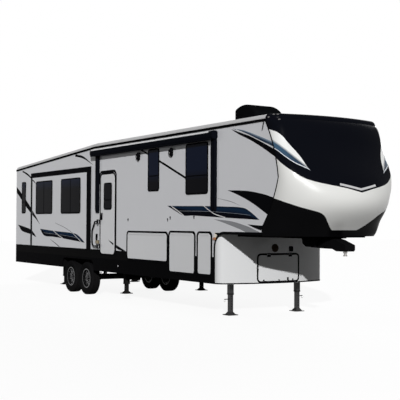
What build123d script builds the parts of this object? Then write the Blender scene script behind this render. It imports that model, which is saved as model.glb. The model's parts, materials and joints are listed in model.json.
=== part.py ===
from build123d import *
import os
from math import atan2, cos, degrees, pi, radians, sin

# A fifth wheel travel trailer, in millimetres. X runs forward to the nose cap, the entry
# door is on the curb side, -Y, Z is up and the ground is Z = 0. The origin is under the
# middle of the overall length. Stations are distances forward of the rear wall's outside.

# Driving sizes of the body
body_width = 2440
nose_station = 13140          # the cap's foremost point
rear_reach = 120              # bumper and ladder behind the rear wall
wall_thickness = 50
cap_thickness = 45
panel_gap = 1                 # between neighbouring skins of the body
running_gap = 8               # round a door's leaf
seat_gap = 0.3                # between a moving piece and the seat that carries it
half_width = body_width / 2
inner_half_width = half_width - wall_thickness
rear_x = -(nose_station - rear_reach) / 2


def at(station):
    """X of a station."""
    return rear_x + station


# Heights
skirt_bottom = 600
skirt_top = 900               # the walls stand on the floor's underside
floor_top = 1000
deck_bottom = 1560            # raised floor of the gooseneck
deck_top = 1620
wall_top_rear = 3200
wall_top = 3500
roof_thickness = 100
roof_edge_radius = 85
slope_station = 5260          # the roof falls rearwards from here
deck_station = 6850           # the raised floor starts here

# Seam between the side wall and the nose cap: station, height, from the roof down
seam_top = (12070, 3460)
seam_upper = (12350, 2860)
seam_bulge = (12430, 2500)
seam_lower = (12300, 2160)
seam_foot = (11990, 1678)
overhang_bottom = 1550

# Nose cap sections: height, station where the side starts to curve, station of the front
cap_sections = (
    (1505, 11940, 12600),
    (1760, 12060, 12880),
    (2010, 12200, 13110),
    (2200, 12310, 13140),
    (2420, 12400, 13050),
    (2800, 12370, 12780),
    (3200, 12190, 12620),
    (3515, 12040, 12465),
)
crown_turns = (0, 30, 60, 90)  # degrees round the upper edge, one section at each
cap_back_station = 11600      # rear end of the straight sides that the seam trims
cap_corner_share = 0.6        # corner radius as a share of the front's depth

# Lower nose under the gooseneck
lower_nose_side_station = 10500
lower_nose_front_station = 10850
lower_nose_corner_share = 0.455
lower_nose_edge_station = 10470
lower_nose_edge_radius = 300
lower_nose_thickness = 40
hatch_width = 920
hatch_bottom = 650
hatch_top = 1130
hatch_corner = 50
hatch_hinge_y = 250
hatch_hinge_width = 70
hatch_hinge_radius = 6

# Frame
rail_y = half_width - 380     # the frame's rails stand in from the walls
rail_flange = 100
rail_web = 12
flange_thickness = 10
rail_bottom = 640
rail_front = 10300
drop_top = 740                # the rails are this low under the storage bay
rail_rear = 60
crossmember_stations = (400, 1600, 2800, 3500, 4226, 4950, 5700, 6600, 7700, 8800, 9850)
outrigger_stations = (400, 1600, 2800, 5700, 6600)
crossmember_width = 50
crossmember_depth = 80
belly_thickness = 8
bay_floor_thickness = 16
bulkhead_station = 10430
bulkhead_thickness = 20

# Upper frame, pin box and king pin
upper_rail_height = 80
upper_rail_width = 60
upper_rail_end = 12250
upper_crossmember_stations = (10900, 11400, 11850, 12200)
pin_station = 12710
pin_plate_bottom = 1255
pin_box_width = 300
pin_box_arm_width = 220
pin_box_plate_width = 840     # bolted under the upper rails
pin_box_plate_thickness = 14
pin_box_cheek_gap = 60        # between the box and its side cheeks
pin_box_cheek_thickness = 12
pin_neck_diameter = 50.8
pin_collar_diameter = 71.5
pin_upper_diameter = 73
pin_upper_length = 30
pin_neck_length = 35
pin_collar_length = 19

# Side views of the pin box's narrow arm and wide body below the upper rails: station, height
pin_box_arm = (
    (12470, 1472), (12585, 1448), (12805, 1374), (12818, 1374),
    (12835, 1357), (12835, 1282), (12808, pin_plate_bottom), (12600, pin_plate_bottom),
    (12500, 1292), (12160, 1297), (11930, 1306), (11780, 1372),
)
pin_box_body = (
    (12440, 1462), (12330, 1318), (11990, 1306), (11780, 1372),
)
pin_box_top_stations = (11780, 12240)
pin_box_cheek_stations = (11790, 12235, 12180, 11910, 11820)
pin_box_cheek_levels = (1318, 1318, 1376)      # its lower edge, from front to rear

# Running gear
rear_axle_station = 3825
axle_spacing = 913
wheel_y = half_width - 126
tyre_diameter = 780
tyre_width = 235
tyre_shoulder = 38            # height of the rounded shoulder
tyre_crown = 3                # the tread's middle stands out by this
tyre_bead_gap = 0.3           # between tyre and rim
rim_diameter = 440
rim_width = 178
rim_wall = 8
rim_lip_width = 8
spoke_count = 8
spoke_face_inset = 34         # the spokes' outer face behind the rim's edge
rim_hub_diameter = 150
hub_cap_diameter = 96
axle_tube_diameter = 76
spring_y = rail_y
spring_width = 45
leaf_thickness = 8
leaf_count = 4
spring_length = 660
spring_camber = 60
leaf_step = 130               # each leaf is this much shorter than the one above
leaf_lap = 0.5                # leaves run into each other by this
spring_seat_half = 30         # half width of the seat on the axle
spring_seat_height = 12
spring_clip = 45              # half length of the clip round the leaves
eye_radius = 20
hanger_width = 64
hanger_foot = 60              # half length of a hanger at the rail
hanger_head = 25
equalizer_rise = 34
spindle_diameter = 60
spindle_end = 50              # past the wheel's middle
drum_diameter = 306
drum_width = 60
axle_height = tyre_diameter / 2

# Legs and jacks
leg_station = 10370
leg_y = half_width - 430
leg_outer = 89
leg_inner = 76
leg_sleeve_bottom = 380
leg_foot = 230
leg_pad_height = 80           # where the leg's bolted pad meets the rail
leg_pin_height = 300          # pull pin that locks the inner tube
leg_pin_reach = 110
leg_pin_radius = 8
leg_cone = (150, 78, 50)      # width below, width above and height of the foot's cone
foot_thickness = 12
foot_corner = 30
jack_stations = (3060, 6480)
jack_y = half_width - 230
jack_outer = 110
jack_inner = 76
jack_sleeve_bottom = 350
jack_foot = 230
jack_foot_height = 140
jack_top = 880
jack_cone = (160, 78, 45)
jack_bracket_half = 70
bracket_thickness = 10

# Doors and windows
door_rear_station = 5590
door_front_station = 6310
door_bottom = 1015
door_top = 2830
door_corner = 90
door_thickness = 46
door_frame_width = 32
door_frame_proud = 8
door_proud = 4                # of the entry door's skin before the wall
door_window_rear = 5770
door_window_front = 6165
door_window_bottom = 2025
door_window_top = 2635
latch_inset = 18              # from the leaf's rear edge
latch_width = 80
latch_bottom = 1790
latch_top = 1950
latch_corner = 14
latch_depth = 12
hinge_radius = 4              # barrel of the long door hinges
hinge_offset = 14             # of the barrel from the leaf's edge
hinge_strap = 24              # how far the strap laps over the leaf
glass_thickness = 8
glass_rebate = 22             # how far a pane laps over the wall round its opening
baggage_thickness = 40
baggage_corner = 45
baggage_frame_width = 28
baggage_frame_proud = 8
baggage_sleeve = 4            # thickness of a baggage frame's sleeve inside the opening

# Fixed windows: side, rear station, front station, bottom, top
side_windows = (
    (-1, 450, 750, 1975, 2845),
    (-1, 7885, 8360, 2385, 3265),
    (-1, 9430, 10240, 2280, 3265),
    (1, 450, 750, 1975, 2845),
    (1, 7885, 8360, 2385, 3265),
    (1, 9430, 10240, 2280, 3265),
)
side_window_corner = 60
rear_window_width = 1100
rear_window_bottom = 2020
rear_window_top = 2820

# Baggage doors: name, side, rear station, front station, bottom, top
baggage_doors = (
    ("baggage_door_rear", -1, 6965, 8690, 953, 1495),
    ("baggage_door_middle", -1, 8810, 9750, 763, 1515),
    ("baggage_door_front", -1, 9900, 10343, 770, 1515),
    ("road_baggage_door", 1, 8810, 9750, 763, 1515),
)

# Slide rooms, the same on both sides
slide_rear_station = 1280
slide_front_station = 5050
slide_bottom = 1100
slide_top = 3060
slide_trim_front = 200
slide_trim_rear = 32
slide_trim_top = 130
slide_skin = 28
slide_box_inset = 90          # from the trim's edge to the room's outside
slide_box_wall = 45
slide_depth = 860
slide_clearance = 15
slide_floor_gap = 0.5         # the room slides on the bottom of its wall opening
slide_windows = ((1590, 2730), (3310, 4500))
slide_window_bottom = 1950
slide_window_top = 2820

# Wheel opening in the skirt
arch_top = 845
well_thickness = 6            # black liner round each pair of wheels
arch_clearance = 75
arch_radius = 160
skirt_thickness = 25

# Awning, roof gear and small fittings
awning_rear_station = 5240
awning_front_station = 10500
awning_bottom = 3280
awning_top = 3440
awning_depth = 125
awning_arm_stations = (5410, 10440)
awning_arm_width = 100
awning_arm_depth = 45
awning_arm_bottom = 1985
cooler_station = 10150
cooler_length = 800
cooler_width = 650
cooler_height = 442
cooler_corner = 105           # upright corners
cooler_edge = 60              # round of its top edges
cooler_rear_height = 352
cooler_front_height = 262
vent_stations = (3000, 7400)
vent_size = 410
vent_height = 110
grab_station = 5528
grab_reach = 282
grab_bottom = 1146
grab_top = 1785
grab_tube = 32
grab_standoff = 60            # from the wall to the tube's middle
grab_sleeve = 70              # height of the upright sleeve at each end of the tube
grab_slant = 215              # height of the sloping run below the upper arm
grab_lug = (36, 12)           # width and thickness of a bracket's lugs
grab_plate = 8                # a bracket's wall plate
bumper_size = 100
bumper_width = body_width - 240
ladder_y = half_width - 520
ladder_width = 360
ladder_tube = 26
ladder_bottom = 1150
ladder_rise = 130             # top of the ladder's bend over the roof
ladder_foot_station = 260     # where its ends stand on the roof
ladder_rungs = 7
ladder_rung_pitch = 290
pipe_rear_station = 5600
pipe_front_station = 6780
pipe_height = 478
pipe_diameter = 82
pipe_hanger_inset = 120       # of its two hangers from its ends
pipe_hanger_width = 40
pipe_hanger_thickness = 30
tail_lamp_y = half_width - 160
tail_lamp_size = (110, 360)   # width and height
tail_lamp_height = 1400
tail_lamp_depth = 22
tail_lamp_corner = 30
marker_rear_station = 10440
marker_front_station = 10530
marker_bottom = 1415
marker_top = 1465
marker_depth = 20
wall_lamp_stations = (7470, 8880)
wall_lamp_width = 120
wall_lamp_bottom = 3050
wall_lamp_top = 3235
wall_lamp_corner = 25
wall_lamp_depth = 40


def corner_box(x_from, x_to, y_from, y_to, z_from, z_to):
    """Box between two corners."""
    middle = Pos((x_from + x_to) / 2, (y_from + y_to) / 2, (z_from + z_to) / 2)
    return middle * Box(x_to - x_from, y_to - y_from, z_to - z_from)


def elevation_plane(y):
    """Plane of a side view at Y = y: its x runs along +X, its y up, and it faces -Y."""
    return Plane(origin=(0, y, 0), x_dir=(1, 0, 0), z_dir=(0, -1, 0))


def elevation_prism(shape, y_from, y_to):
    """Side-view face, in X and Z, made a solid from y_from to y_to."""
    return extrude(elevation_plane(y_to) * shape, amount=y_to - y_from)


def elevation_polygon(points, y_from, y_to):
    """Polygon of (station, height) points as a solid from y_from to y_to."""
    corners = [(at(station), height) for station, height in points]
    outline = make_face(Polyline(*corners, close=True))
    return elevation_prism(outline, y_from, y_to)


def rounded_panel(station_from, station_to, z_from, z_to, radius, y_from, y_to):
    """Plate with round corners that stands in a side wall."""
    width = station_to - station_from
    height = z_to - z_from
    shape = Pos(at(station_from + width / 2), z_from + height / 2) * RectangleRounded(width, height, radius)
    return elevation_prism(shape, y_from, y_to)


def side_span(side, inner, outer):
    """Y range, in rising order, of a layer from inner to outer on one side."""
    return (side * outer, side * inner) if side < 0 else (inner, outer)


def front_outline(height, side_x, front_x, half, corner_share, back_x):
    """Plan of a bowed front at one height: straight sides, round corners, one wide arc."""
    depth = front_x - side_x
    corner = corner_share * depth
    bow = (depth ** 2 + half ** 2 - 2 * half * corner) / (2 * (depth - corner))
    bow_centre = front_x - bow
    turn = atan2(half - corner, side_x - bow_centre)
    mid_turn = (pi / 2 + turn) / 2
    meet = (bow_centre + bow * cos(turn), bow * sin(turn))
    corner_mid = (side_x + corner * cos(mid_turn), half - corner + corner * sin(mid_turn))
    points = ((back_x, half), (side_x, half), corner_mid, meet)
    left = [Vector(x, y, height) for x, y in points]
    right = [Vector(x, -y, height) for x, y in points]
    edges = [
        Line(left[0], left[1]),
        ThreePointArc(left[1], left[2], left[3]),
        ThreePointArc(left[3], (front_x, 0, height), right[3]),
        ThreePointArc(right[3], right[2], right[1]),
        Line(right[1], right[0]),
        Line(right[0], left[0]),
    ]
    return make_face(Wire([edge.edge() for edge in edges]))


def cap_outline(height, side_station, front_station, inset):
    """Plan of the nose cap at one height, its skin moved inwards by inset."""
    return front_outline(height, at(side_station), at(front_station) - inset, half_width - inset,
                         cap_corner_share, at(cap_back_station))


def cap_body():
    """Solid of the nose cap: its sides and front, and the round edge of its crown."""
    sides = loft([cap_outline(*section, 0) for section in cap_sections])
    height, side_station, front_station = cap_sections[-1]
    rings = []
    for turn in crown_turns:
        rise = roof_edge_radius * sin(radians(turn))
        inset = roof_edge_radius * (1 - cos(radians(turn)))
        rings.append(cap_outline(height + rise, side_station, front_station, inset))
    return sides + loft(rings)


def cap_hollow():
    """Space inside the nose cap's shell, open below."""
    first, *middle, last = cap_sections
    under = (first[0] - 5, *first[1:])
    sides = loft([cap_outline(*section, cap_thickness) for section in (under, *middle, last)])
    top = wall_top + roof_thickness - cap_thickness
    height, side_station, front_station = last
    face = cap_outline(height, side_station, front_station, cap_thickness + 20)
    return sides + extrude(face, amount=top - height, dir=(0, 0, 1))


def seam_region(shift):
    """Everything forward of the seam between side wall and cap, moved forward by shift."""
    top, upper, bulge, lower, foot = [
        (at(station) + shift, height)
        for station, height in (seam_top, seam_upper, seam_bulge, seam_lower, seam_foot)
    ]
    roof_point = (top[0], 4200)
    ground_point = (foot[0] - 60, 1300)
    far_x = at(nose_station) + 500
    edges = [
        Line(roof_point, top),
        ThreePointArc(top, upper, bulge),
        ThreePointArc(bulge, lower, foot),
        Line(foot, ground_point),
        Line(ground_point, (far_x, 1300)),
        Line((far_x, 1300), (far_x, 4200)),
        Line((far_x, 4200), roof_point),
    ]
    outline = make_face(Wire([edge.edge() for edge in edges]))
    return elevation_prism(outline, -body_width, body_width)


def lower_nose_region(shift):
    """Everything forward of the lower nose's curved side edge, moved forward by shift."""
    edge = at(lower_nose_edge_station) + shift
    radius = lower_nose_edge_radius
    top = overhang_bottom + shift
    bend_start = (edge, top - radius)
    bend_middle = (edge + radius * (1 - cos(pi / 4)), top - radius + radius * sin(pi / 4))
    bend_end = (edge + radius, top)
    far_x = at(nose_station)
    edges = [
        Line((edge, 0), bend_start),
        ThreePointArc(bend_start, bend_middle, bend_end),
        Line(bend_end, (far_x, top)),
        Line((far_x, top), (far_x, 0)),
        Line((far_x, 0), (edge, 0)),
    ]
    outline = make_face(Wire([edge.edge() for edge in edges]))
    return elevation_prism(outline, -body_width, body_width)


def slide_edges():
    """Rear and front stations of the slide room's outside."""
    return slide_rear_station + slide_box_inset, slide_front_station - slide_box_inset


def slide_heights():
    """Bottom and top of the slide room's outside."""
    return slide_bottom + slide_box_inset, slide_top - slide_box_inset


def side_wall(side):
    """Laminated side wall with its window, door, baggage and slide openings."""
    y_from, y_to = side_span(side, inner_half_width, half_width)
    wall = elevation_polygon(
        (
            (0, skirt_top), (0, wall_top_rear), (slope_station, wall_top),
            (nose_station, wall_top), (nose_station, overhang_bottom),
            (lower_nose_edge_station, overhang_bottom), (lower_nose_edge_station, skirt_top),
        ),
        y_from, y_to,
    )
    wall -= seam_region(-panel_gap)
    wall -= lower_nose_region(-panel_gap)
    reach_from, reach_to = side_span(side, inner_half_width - 100, half_width + 100)
    for window_side, rear, front, bottom, top in side_windows:
        if window_side == side:
            wall -= rounded_panel(rear + glass_rebate, front - glass_rebate, bottom + glass_rebate,
                                  top - glass_rebate, side_window_corner - glass_rebate,
                                  reach_from, reach_to)
    for _, door_side, rear, front, bottom, top in baggage_doors:
        if door_side == side:
            wall -= baggage_opening(rear, front, bottom, top, reach_from, reach_to)
    box_rear, box_front = slide_edges()
    box_bottom, box_top = slide_heights()
    wall -= elevation_polygon(
        (
            (box_rear - slide_clearance, box_bottom - slide_floor_gap),
            (box_rear - slide_clearance, box_top + slide_clearance),
            (box_front + slide_clearance, box_top + slide_clearance),
            (box_front + slide_clearance, box_bottom - slide_floor_gap),
        ),
        reach_from, reach_to,
    )
    if side < 0:
        wall -= rounded_panel(door_rear_station - running_gap, door_front_station + running_gap,
                              door_bottom - running_gap, door_top + running_gap,
                              door_corner + running_gap, reach_from, reach_to)
    return wall


def baggage_opening(rear, front, bottom, top, y_from, y_to):
    """Cutter for one baggage opening, wide enough for its frame's sleeve."""
    around = running_gap + baggage_sleeve
    return rounded_panel(rear - around, front + around, bottom - around, top + around,
                         baggage_corner + around, y_from, y_to)


def baggage_frame(side, rear, front, bottom, top):
    """Frame round a baggage opening: a flange on the wall and a sleeve through it."""
    sleeve_out = running_gap + baggage_sleeve
    flange_out = running_gap + baggage_frame_width
    flange_from, flange_to = side_span(side, half_width, half_width + baggage_frame_proud)
    sleeve_from, sleeve_to = side_span(side, inner_half_width, half_width + baggage_frame_proud)
    frame = rounded_panel(rear - flange_out, front + flange_out, bottom - flange_out, top + flange_out,
                          baggage_corner + flange_out, flange_from, flange_to)
    frame += rounded_panel(rear - sleeve_out, front + sleeve_out, bottom - sleeve_out,
                           top + sleeve_out, baggage_corner + sleeve_out, sleeve_from, sleeve_to)
    frame -= rounded_panel(rear - running_gap, front + running_gap, bottom - running_gap,
                           top + running_gap, baggage_corner + running_gap,
                           sleeve_from - 10, sleeve_to + 10)
    return frame


def hinge_y(proud):
    """Distance of a hinge barrel's axis from the centre plane, before a frame this proud."""
    return half_width + proud + seat_gap + hinge_radius


def baggage_leaf(side, rear, front, bottom, top):
    """Leaf of one baggage door with the long hinge along its top edge."""
    outer = half_width + baggage_frame_proud - 3
    y_from, y_to = side_span(side, outer - baggage_thickness, outer)
    leaf_solid = rounded_panel(rear, front, bottom, top, baggage_corner, y_from, y_to)
    barrel_y = hinge_y(baggage_frame_proud)
    x_from, x_to = at(rear + baggage_corner), at(front - baggage_corner)
    flange_y = half_width + baggage_frame_proud + seat_gap
    strap_from, strap_to = side_span(side, flange_y, barrel_y)
    leaf_solid += corner_box(x_from, x_to, strap_from, strap_to, top - hinge_strap, top + hinge_offset)
    lap_from, lap_to = side_span(side, outer, barrel_y)
    leaf_solid += corner_box(x_from, x_to, lap_from, lap_to, top - hinge_strap, top)
    barrel = Pos((x_from + x_to) / 2, side * barrel_y, top + hinge_offset)
    return leaf_solid + barrel * (Rot(Y=90) * Cylinder(hinge_radius, x_to - x_from))


def skirt(side):
    """Black sheet below the wall, cut for the wheels and the low baggage doors."""
    y_from, y_to = side_span(side, half_width - skirt_thickness, half_width)
    sheet = elevation_polygon(
        ((0, skirt_bottom), (0, skirt_top), (nose_station, skirt_top), (nose_station, skirt_bottom)),
        y_from, y_to,
    )
    sheet -= lower_nose_region(-panel_gap)
    reach_from, reach_to = side_span(side, inner_half_width - 100, half_width + 100)
    tyre_radius = tyre_diameter / 2
    arch_rear = rear_axle_station - tyre_radius - arch_clearance
    arch_front = rear_axle_station + axle_spacing + tyre_radius + arch_clearance
    sheet -= rounded_panel(arch_rear, arch_front, skirt_bottom - 2 * arch_radius, arch_top,
                           arch_radius, reach_from, reach_to)
    for _, door_side, rear, front, bottom, top in baggage_doors:
        if door_side == side:
            sheet -= baggage_opening(rear, front, bottom, top, reach_from, reach_to)
    return sheet


def rear_wall():
    """Rear wall between the side walls, down to the skirt's bottom."""
    wall = corner_box(at(0), at(wall_thickness), -inner_half_width, inner_half_width,
                      skirt_bottom, wall_top_rear)
    opening_width = rear_window_width - 2 * glass_rebate
    opening_height = rear_window_top - rear_window_bottom - 2 * glass_rebate
    middle = (rear_window_bottom + rear_window_top) / 2
    plane = Plane(origin=(at(0) - 50, 0, middle), x_dir=(0, 1, 0), z_dir=(1, 0, 0))
    opening = RectangleRounded(opening_width, opening_height, side_window_corner - glass_rebate)
    wall -= extrude(plane * opening, amount=200)
    return wall


def roof_section(x, bottom):
    """Cross-section of the roof at one place: a slab with rounded upper edges."""
    radius = roof_edge_radius
    top = bottom + roof_thickness
    start = 45 * pi / 180
    bend = radius * (1 - cos(start))
    points = {
        "low": (half_width, bottom),
        "side": (half_width, top - radius),
        "bend": (half_width - bend, top - bend),
        "top": (half_width - radius, top),
    }
    right = {name: Vector(x, -y, z) for name, (y, z) in points.items()}
    left = {name: Vector(x, y, z) for name, (y, z) in points.items()}
    edges = [
        Line(right["low"], right["side"]),
        ThreePointArc(right["side"], right["bend"], right["top"]),
        Line(right["top"], left["top"]),
        ThreePointArc(left["top"], left["bend"], left["side"]),
        Line(left["side"], left["low"]),
        Line(left["low"], right["low"]),
    ]
    return make_face(Wire([edge.edge() for edge in edges]))


def roof():
    """Roof in two runs: it falls rearwards behind slope_station and is level before it."""
    stations = ((0, wall_top_rear), (slope_station, wall_top), (seam_top[0] - panel_gap, wall_top))
    sections = [roof_section(at(station), bottom) for station, bottom in stations]
    return loft(sections[:2], ruled=True) + loft(sections[1:], ruled=True)


def roof_height(station):
    """Height of the roof's upper surface at a station."""
    fall = (wall_top - wall_top_rear) * max(0, slope_station - station) / slope_station
    return wall_top - fall + roof_thickness


def drip_rail(side):
    """Thin rail along the joint of wall and roof."""
    depth = 12
    below, above = 20, 14
    y_from, y_to = side_span(side, half_width, half_width + depth)
    stations = ((0, wall_top_rear), (slope_station, wall_top), (seam_top[0] - panel_gap, wall_top))
    lower = [(station, height - below) for station, height in stations]
    upper = [(station, height + above) for station, height in reversed(stations)]
    return elevation_polygon(lower + upper, y_from, y_to)


def front_cap():
    """Moulded nose cap: a hollow shell with a round upper edge, open below and behind."""
    return (cap_body() - cap_hollow()) & seam_region(0)


def lower_nose_plan(inset, z_from, z_to):
    """Solid of the lower nose's plan between two heights, moved inwards by inset."""
    face = front_outline(z_from, at(lower_nose_side_station), at(lower_nose_front_station) - inset,
                         half_width - inset, lower_nose_corner_share, at(deck_station))
    return extrude(face, amount=z_to - z_from, dir=(0, 0, 1))


def hatch_block(grow):
    """Block that cuts the front hatch out of the lower nose, larger by grow all round."""
    width = hatch_width + 2 * grow
    height = hatch_top - hatch_bottom + 2 * grow
    middle = (hatch_top + hatch_bottom) / 2
    plane = Plane(origin=(at(lower_nose_side_station), 0, middle), x_dir=(0, 1, 0), z_dir=(1, 0, 0))
    return extrude(plane * RectangleRounded(width, height, hatch_corner + grow), amount=600)


def hatch_hinge_axis():
    """X and height of the hatch's hinge axis."""
    return at(lower_nose_front_station) + hatch_hinge_radius + 2, hatch_top + hinge_offset


def hatch_hinges():
    """Two knuckles that stand on the hatch's upper edge."""
    x, z = hatch_hinge_axis()
    knuckles = None
    for side in (-1, 1):
        y = side * hatch_hinge_y
        barrel = Pos(x, y, z) * (Rot(X=90) * Cylinder(hatch_hinge_radius, hatch_hinge_width))
        strap = corner_box(x - 40, x, y - hatch_hinge_width / 2, y + hatch_hinge_width / 2,
                           hatch_top - 30, hatch_top)
        neck = corner_box(x - hatch_hinge_radius, x, y - hatch_hinge_width / 2,
                          y + hatch_hinge_width / 2, hatch_top - 30, z)
        knuckle = barrel + strap + neck
        knuckles = knuckle if knuckles is None else knuckles + knuckle
    return knuckles


def hatch_hinge_pads():
    """Pads on the nose, behind the hatch's knuckles."""
    x, _ = hatch_hinge_axis()
    pads = None
    for side in (-1, 1):
        y = side * hatch_hinge_y
        pad = corner_box(x - 40, x - hatch_hinge_radius - seat_gap, y - hatch_hinge_width / 2,
                         y + hatch_hinge_width / 2, hatch_top + running_gap, hatch_top + 40)
        pads = pad if pads is None else pads + pad
    return pads


def lower_nose_shell():
    """Bowed shell of the lower nose before the hatch is cut."""
    shell = lower_nose_plan(0, skirt_bottom, overhang_bottom)
    shell -= lower_nose_plan(lower_nose_thickness, skirt_bottom - 10, overhang_bottom + 10)
    return shell & lower_nose_region(0)


def upper_rail_block(grow):
    """Both upper rails as blocks, larger by grow all round."""
    blocks = None
    for side in (-1, 1):
        y_middle = side * rail_y
        half = upper_rail_width / 2 + grow
        block = corner_box(at(rail_front - 100), at(upper_rail_end), y_middle - half, y_middle + half,
                           deck_bottom - upper_rail_height - grow, deck_bottom)
        blocks = block if blocks is None else blocks + block
    return blocks


def floor():
    """Main floor, the riser at its front end."""
    slab = corner_box(at(wall_thickness), at(deck_station), -inner_half_width, inner_half_width,
                      skirt_top, floor_top)
    riser = corner_box(at(deck_station), at(deck_station + 40), -inner_half_width, inner_half_width,
                       drop_top, deck_bottom)
    for side in (-1, 1):
        riser -= corner_box(at(deck_station - 10), at(deck_station + 60),
                            side * rail_y - rail_flange / 2 - 1, side * rail_y + rail_flange / 2 + 1,
                            drop_top - 10, skirt_top)
    return slab + riser


def upper_deck():
    """Raised floor of the gooseneck, which also closes the overhang from below."""
    slab = corner_box(at(deck_station), at(cap_back_station), -inner_half_width, inner_half_width,
                      deck_bottom, deck_top)
    plan = front_outline(deck_bottom, at(11940), at(12600) - cap_thickness - 2,
                         inner_half_width, cap_corner_share, at(cap_back_station))
    return slab + extrude(plan, amount=deck_top - deck_bottom, dir=(0, 0, 1))


def bay_floor():
    """Floor of the storage bay, the bulkhead before the legs and the nose bay's floor."""
    z_from, z_to = drop_top, drop_top + bay_floor_thickness
    low_from, low_to = rail_bottom - bay_floor_thickness, rail_bottom
    x_front = at(bulkhead_station)
    plate = corner_box(at(deck_station + 40), x_front, -inner_half_width, inner_half_width, z_from, z_to)
    for side in (-1, 1):
        plate -= corner_box(at(rail_front - 101), at(rail_front) + 1, side * rail_y - 51,
                            side * rail_y + 51, z_from - 5, z_to + 5)
    plate += corner_box(x_front, x_front + bulkhead_thickness, -inner_half_width, inner_half_width,
                        low_from, deck_bottom)
    nose_part = lower_nose_plan(lower_nose_thickness + panel_gap, low_from, low_to)
    nose_part &= corner_box(x_front, at(nose_station), -half_width, half_width, low_from, low_to)
    return plate + nose_part - upper_rail_block(1)


def beam(station_from, station_to, y_middle, z_from, z_to):
    """I-beam along X."""
    half = rail_flange / 2
    x_from, x_to = at(station_from), at(station_to)
    lower = corner_box(x_from, x_to, y_middle - half, y_middle + half, z_from, z_from + flange_thickness)
    upper = corner_box(x_from, x_to, y_middle - half, y_middle + half, z_to - flange_thickness, z_to)
    web = corner_box(x_from, x_to, y_middle - rail_web / 2, y_middle + rail_web / 2, z_from, z_to)
    return lower + upper + web


def frame_rails():
    """Main frame: two dropped I-beam rails, crossmembers, outriggers and front uprights."""
    frame = None
    for side in (-1, 1):
        y_middle = side * rail_y
        rail = beam(rail_rear, deck_station, y_middle, rail_bottom, skirt_top)
        rail += beam(deck_station, rail_front, y_middle, rail_bottom, drop_top)
        rail += corner_box(at(deck_station - 12), at(deck_station), y_middle - rail_flange / 2,
                           y_middle + rail_flange / 2, rail_bottom, skirt_top)
        rail += corner_box(at(rail_front - 100), at(rail_front), y_middle - 40, y_middle + 40,
                           rail_bottom, deck_bottom - upper_rail_height)
        for station in outrigger_stations:
            outer = half_width - skirt_thickness
            plan = [(rail_y, skirt_top), (outer, skirt_top), (outer, skirt_top - 60),
                    (rail_y, rail_bottom + 40)]
            plane = Plane(origin=(at(station), 0, 0), x_dir=(0, 1, 0), z_dir=(1, 0, 0))
            shape = make_face(Polyline(*[(side * y, z) for y, z in plan], close=True))
            rail += extrude(plane * shape, amount=5, both=True)
        frame = rail if frame is None else frame + rail
    for station in crossmember_stations:
        frame += corner_box(at(station) - crossmember_width / 2, at(station) + crossmember_width / 2,
                            -rail_y, rail_y, rail_bottom + flange_thickness,
                            rail_bottom + flange_thickness + crossmember_depth)
    return frame


def upper_frame():
    """Rails and crossmembers under the gooseneck deck."""
    frame = upper_rail_block(0)
    bottom = deck_bottom - upper_rail_height
    for station in upper_crossmember_stations:
        frame += corner_box(at(station) - 30, at(station) + 30, -rail_y, rail_y, bottom, deck_bottom)
    return frame


def pin_box():
    """Wedge-shaped box that carries the king pin forward of and below the overhang."""
    top = deck_bottom - upper_rail_height
    half = pin_box_width / 2
    rear, front = pin_box_top_stations
    arm_half = pin_box_arm_width / 2
    box = elevation_polygon(((rear, top), (front, top), *pin_box_body), -half, half)
    box += elevation_polygon(((rear, top), (front, top), *pin_box_arm), -arm_half, arm_half)
    plate_half = pin_box_plate_width / 2
    box += corner_box(at(rear - 20), at(front + 20), -plate_half, plate_half,
                      top - pin_box_plate_thickness, top)
    cheek = half + pin_box_cheek_gap
    levels = (top, top, *pin_box_cheek_levels)
    for side in (-1, 1):
        y_from, y_to = side_span(side, cheek, cheek + pin_box_cheek_thickness)
        box += elevation_polygon(tuple(zip(pin_box_cheek_stations, levels)), y_from, y_to)
    return box


def king_pin():
    """Two-inch king pin under the pin box's plate."""
    steps = (
        (pin_upper_diameter, pin_upper_length),
        (pin_neck_diameter, pin_neck_length),
        (pin_collar_diameter, pin_collar_length),
    )
    pin = None
    top = pin_plate_bottom
    for diameter, length in steps:
        section = Pos(at(pin_station), 0, top - length / 2) * Cylinder(diameter / 2, length)
        pin = section if pin is None else pin + section
        top -= length
    return pin


def underbelly():
    """Sheet that closes the frame from below, between the rails."""
    inner = rail_y - rail_web / 2 - 1
    top = rail_bottom + flange_thickness
    sheet = corner_box(at(rail_rear), at(rail_front - 100), -(rail_y - rail_flange / 2) + 1,
                       rail_y - rail_flange / 2 - 1, top - belly_thickness, top)
    return sheet


def wheel_well(side):
    """Liner over one pair of wheels: a top sheet between two end sheets, from rail to skirt."""
    reach = tyre_diameter / 2 + arch_clearance
    x_from, x_to = at(rear_axle_station - reach), at(rear_axle_station + axle_spacing + reach)
    y_from, y_to = side_span(side, rail_y + rail_flange / 2, half_width - skirt_thickness)
    well = corner_box(x_from, x_to, y_from, y_to, arch_top, arch_top + well_thickness)
    for x in (x_from, x_to - well_thickness):
        well += corner_box(x, x + well_thickness, y_from, y_to, skirt_bottom + 5, arch_top)
    return well


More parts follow.
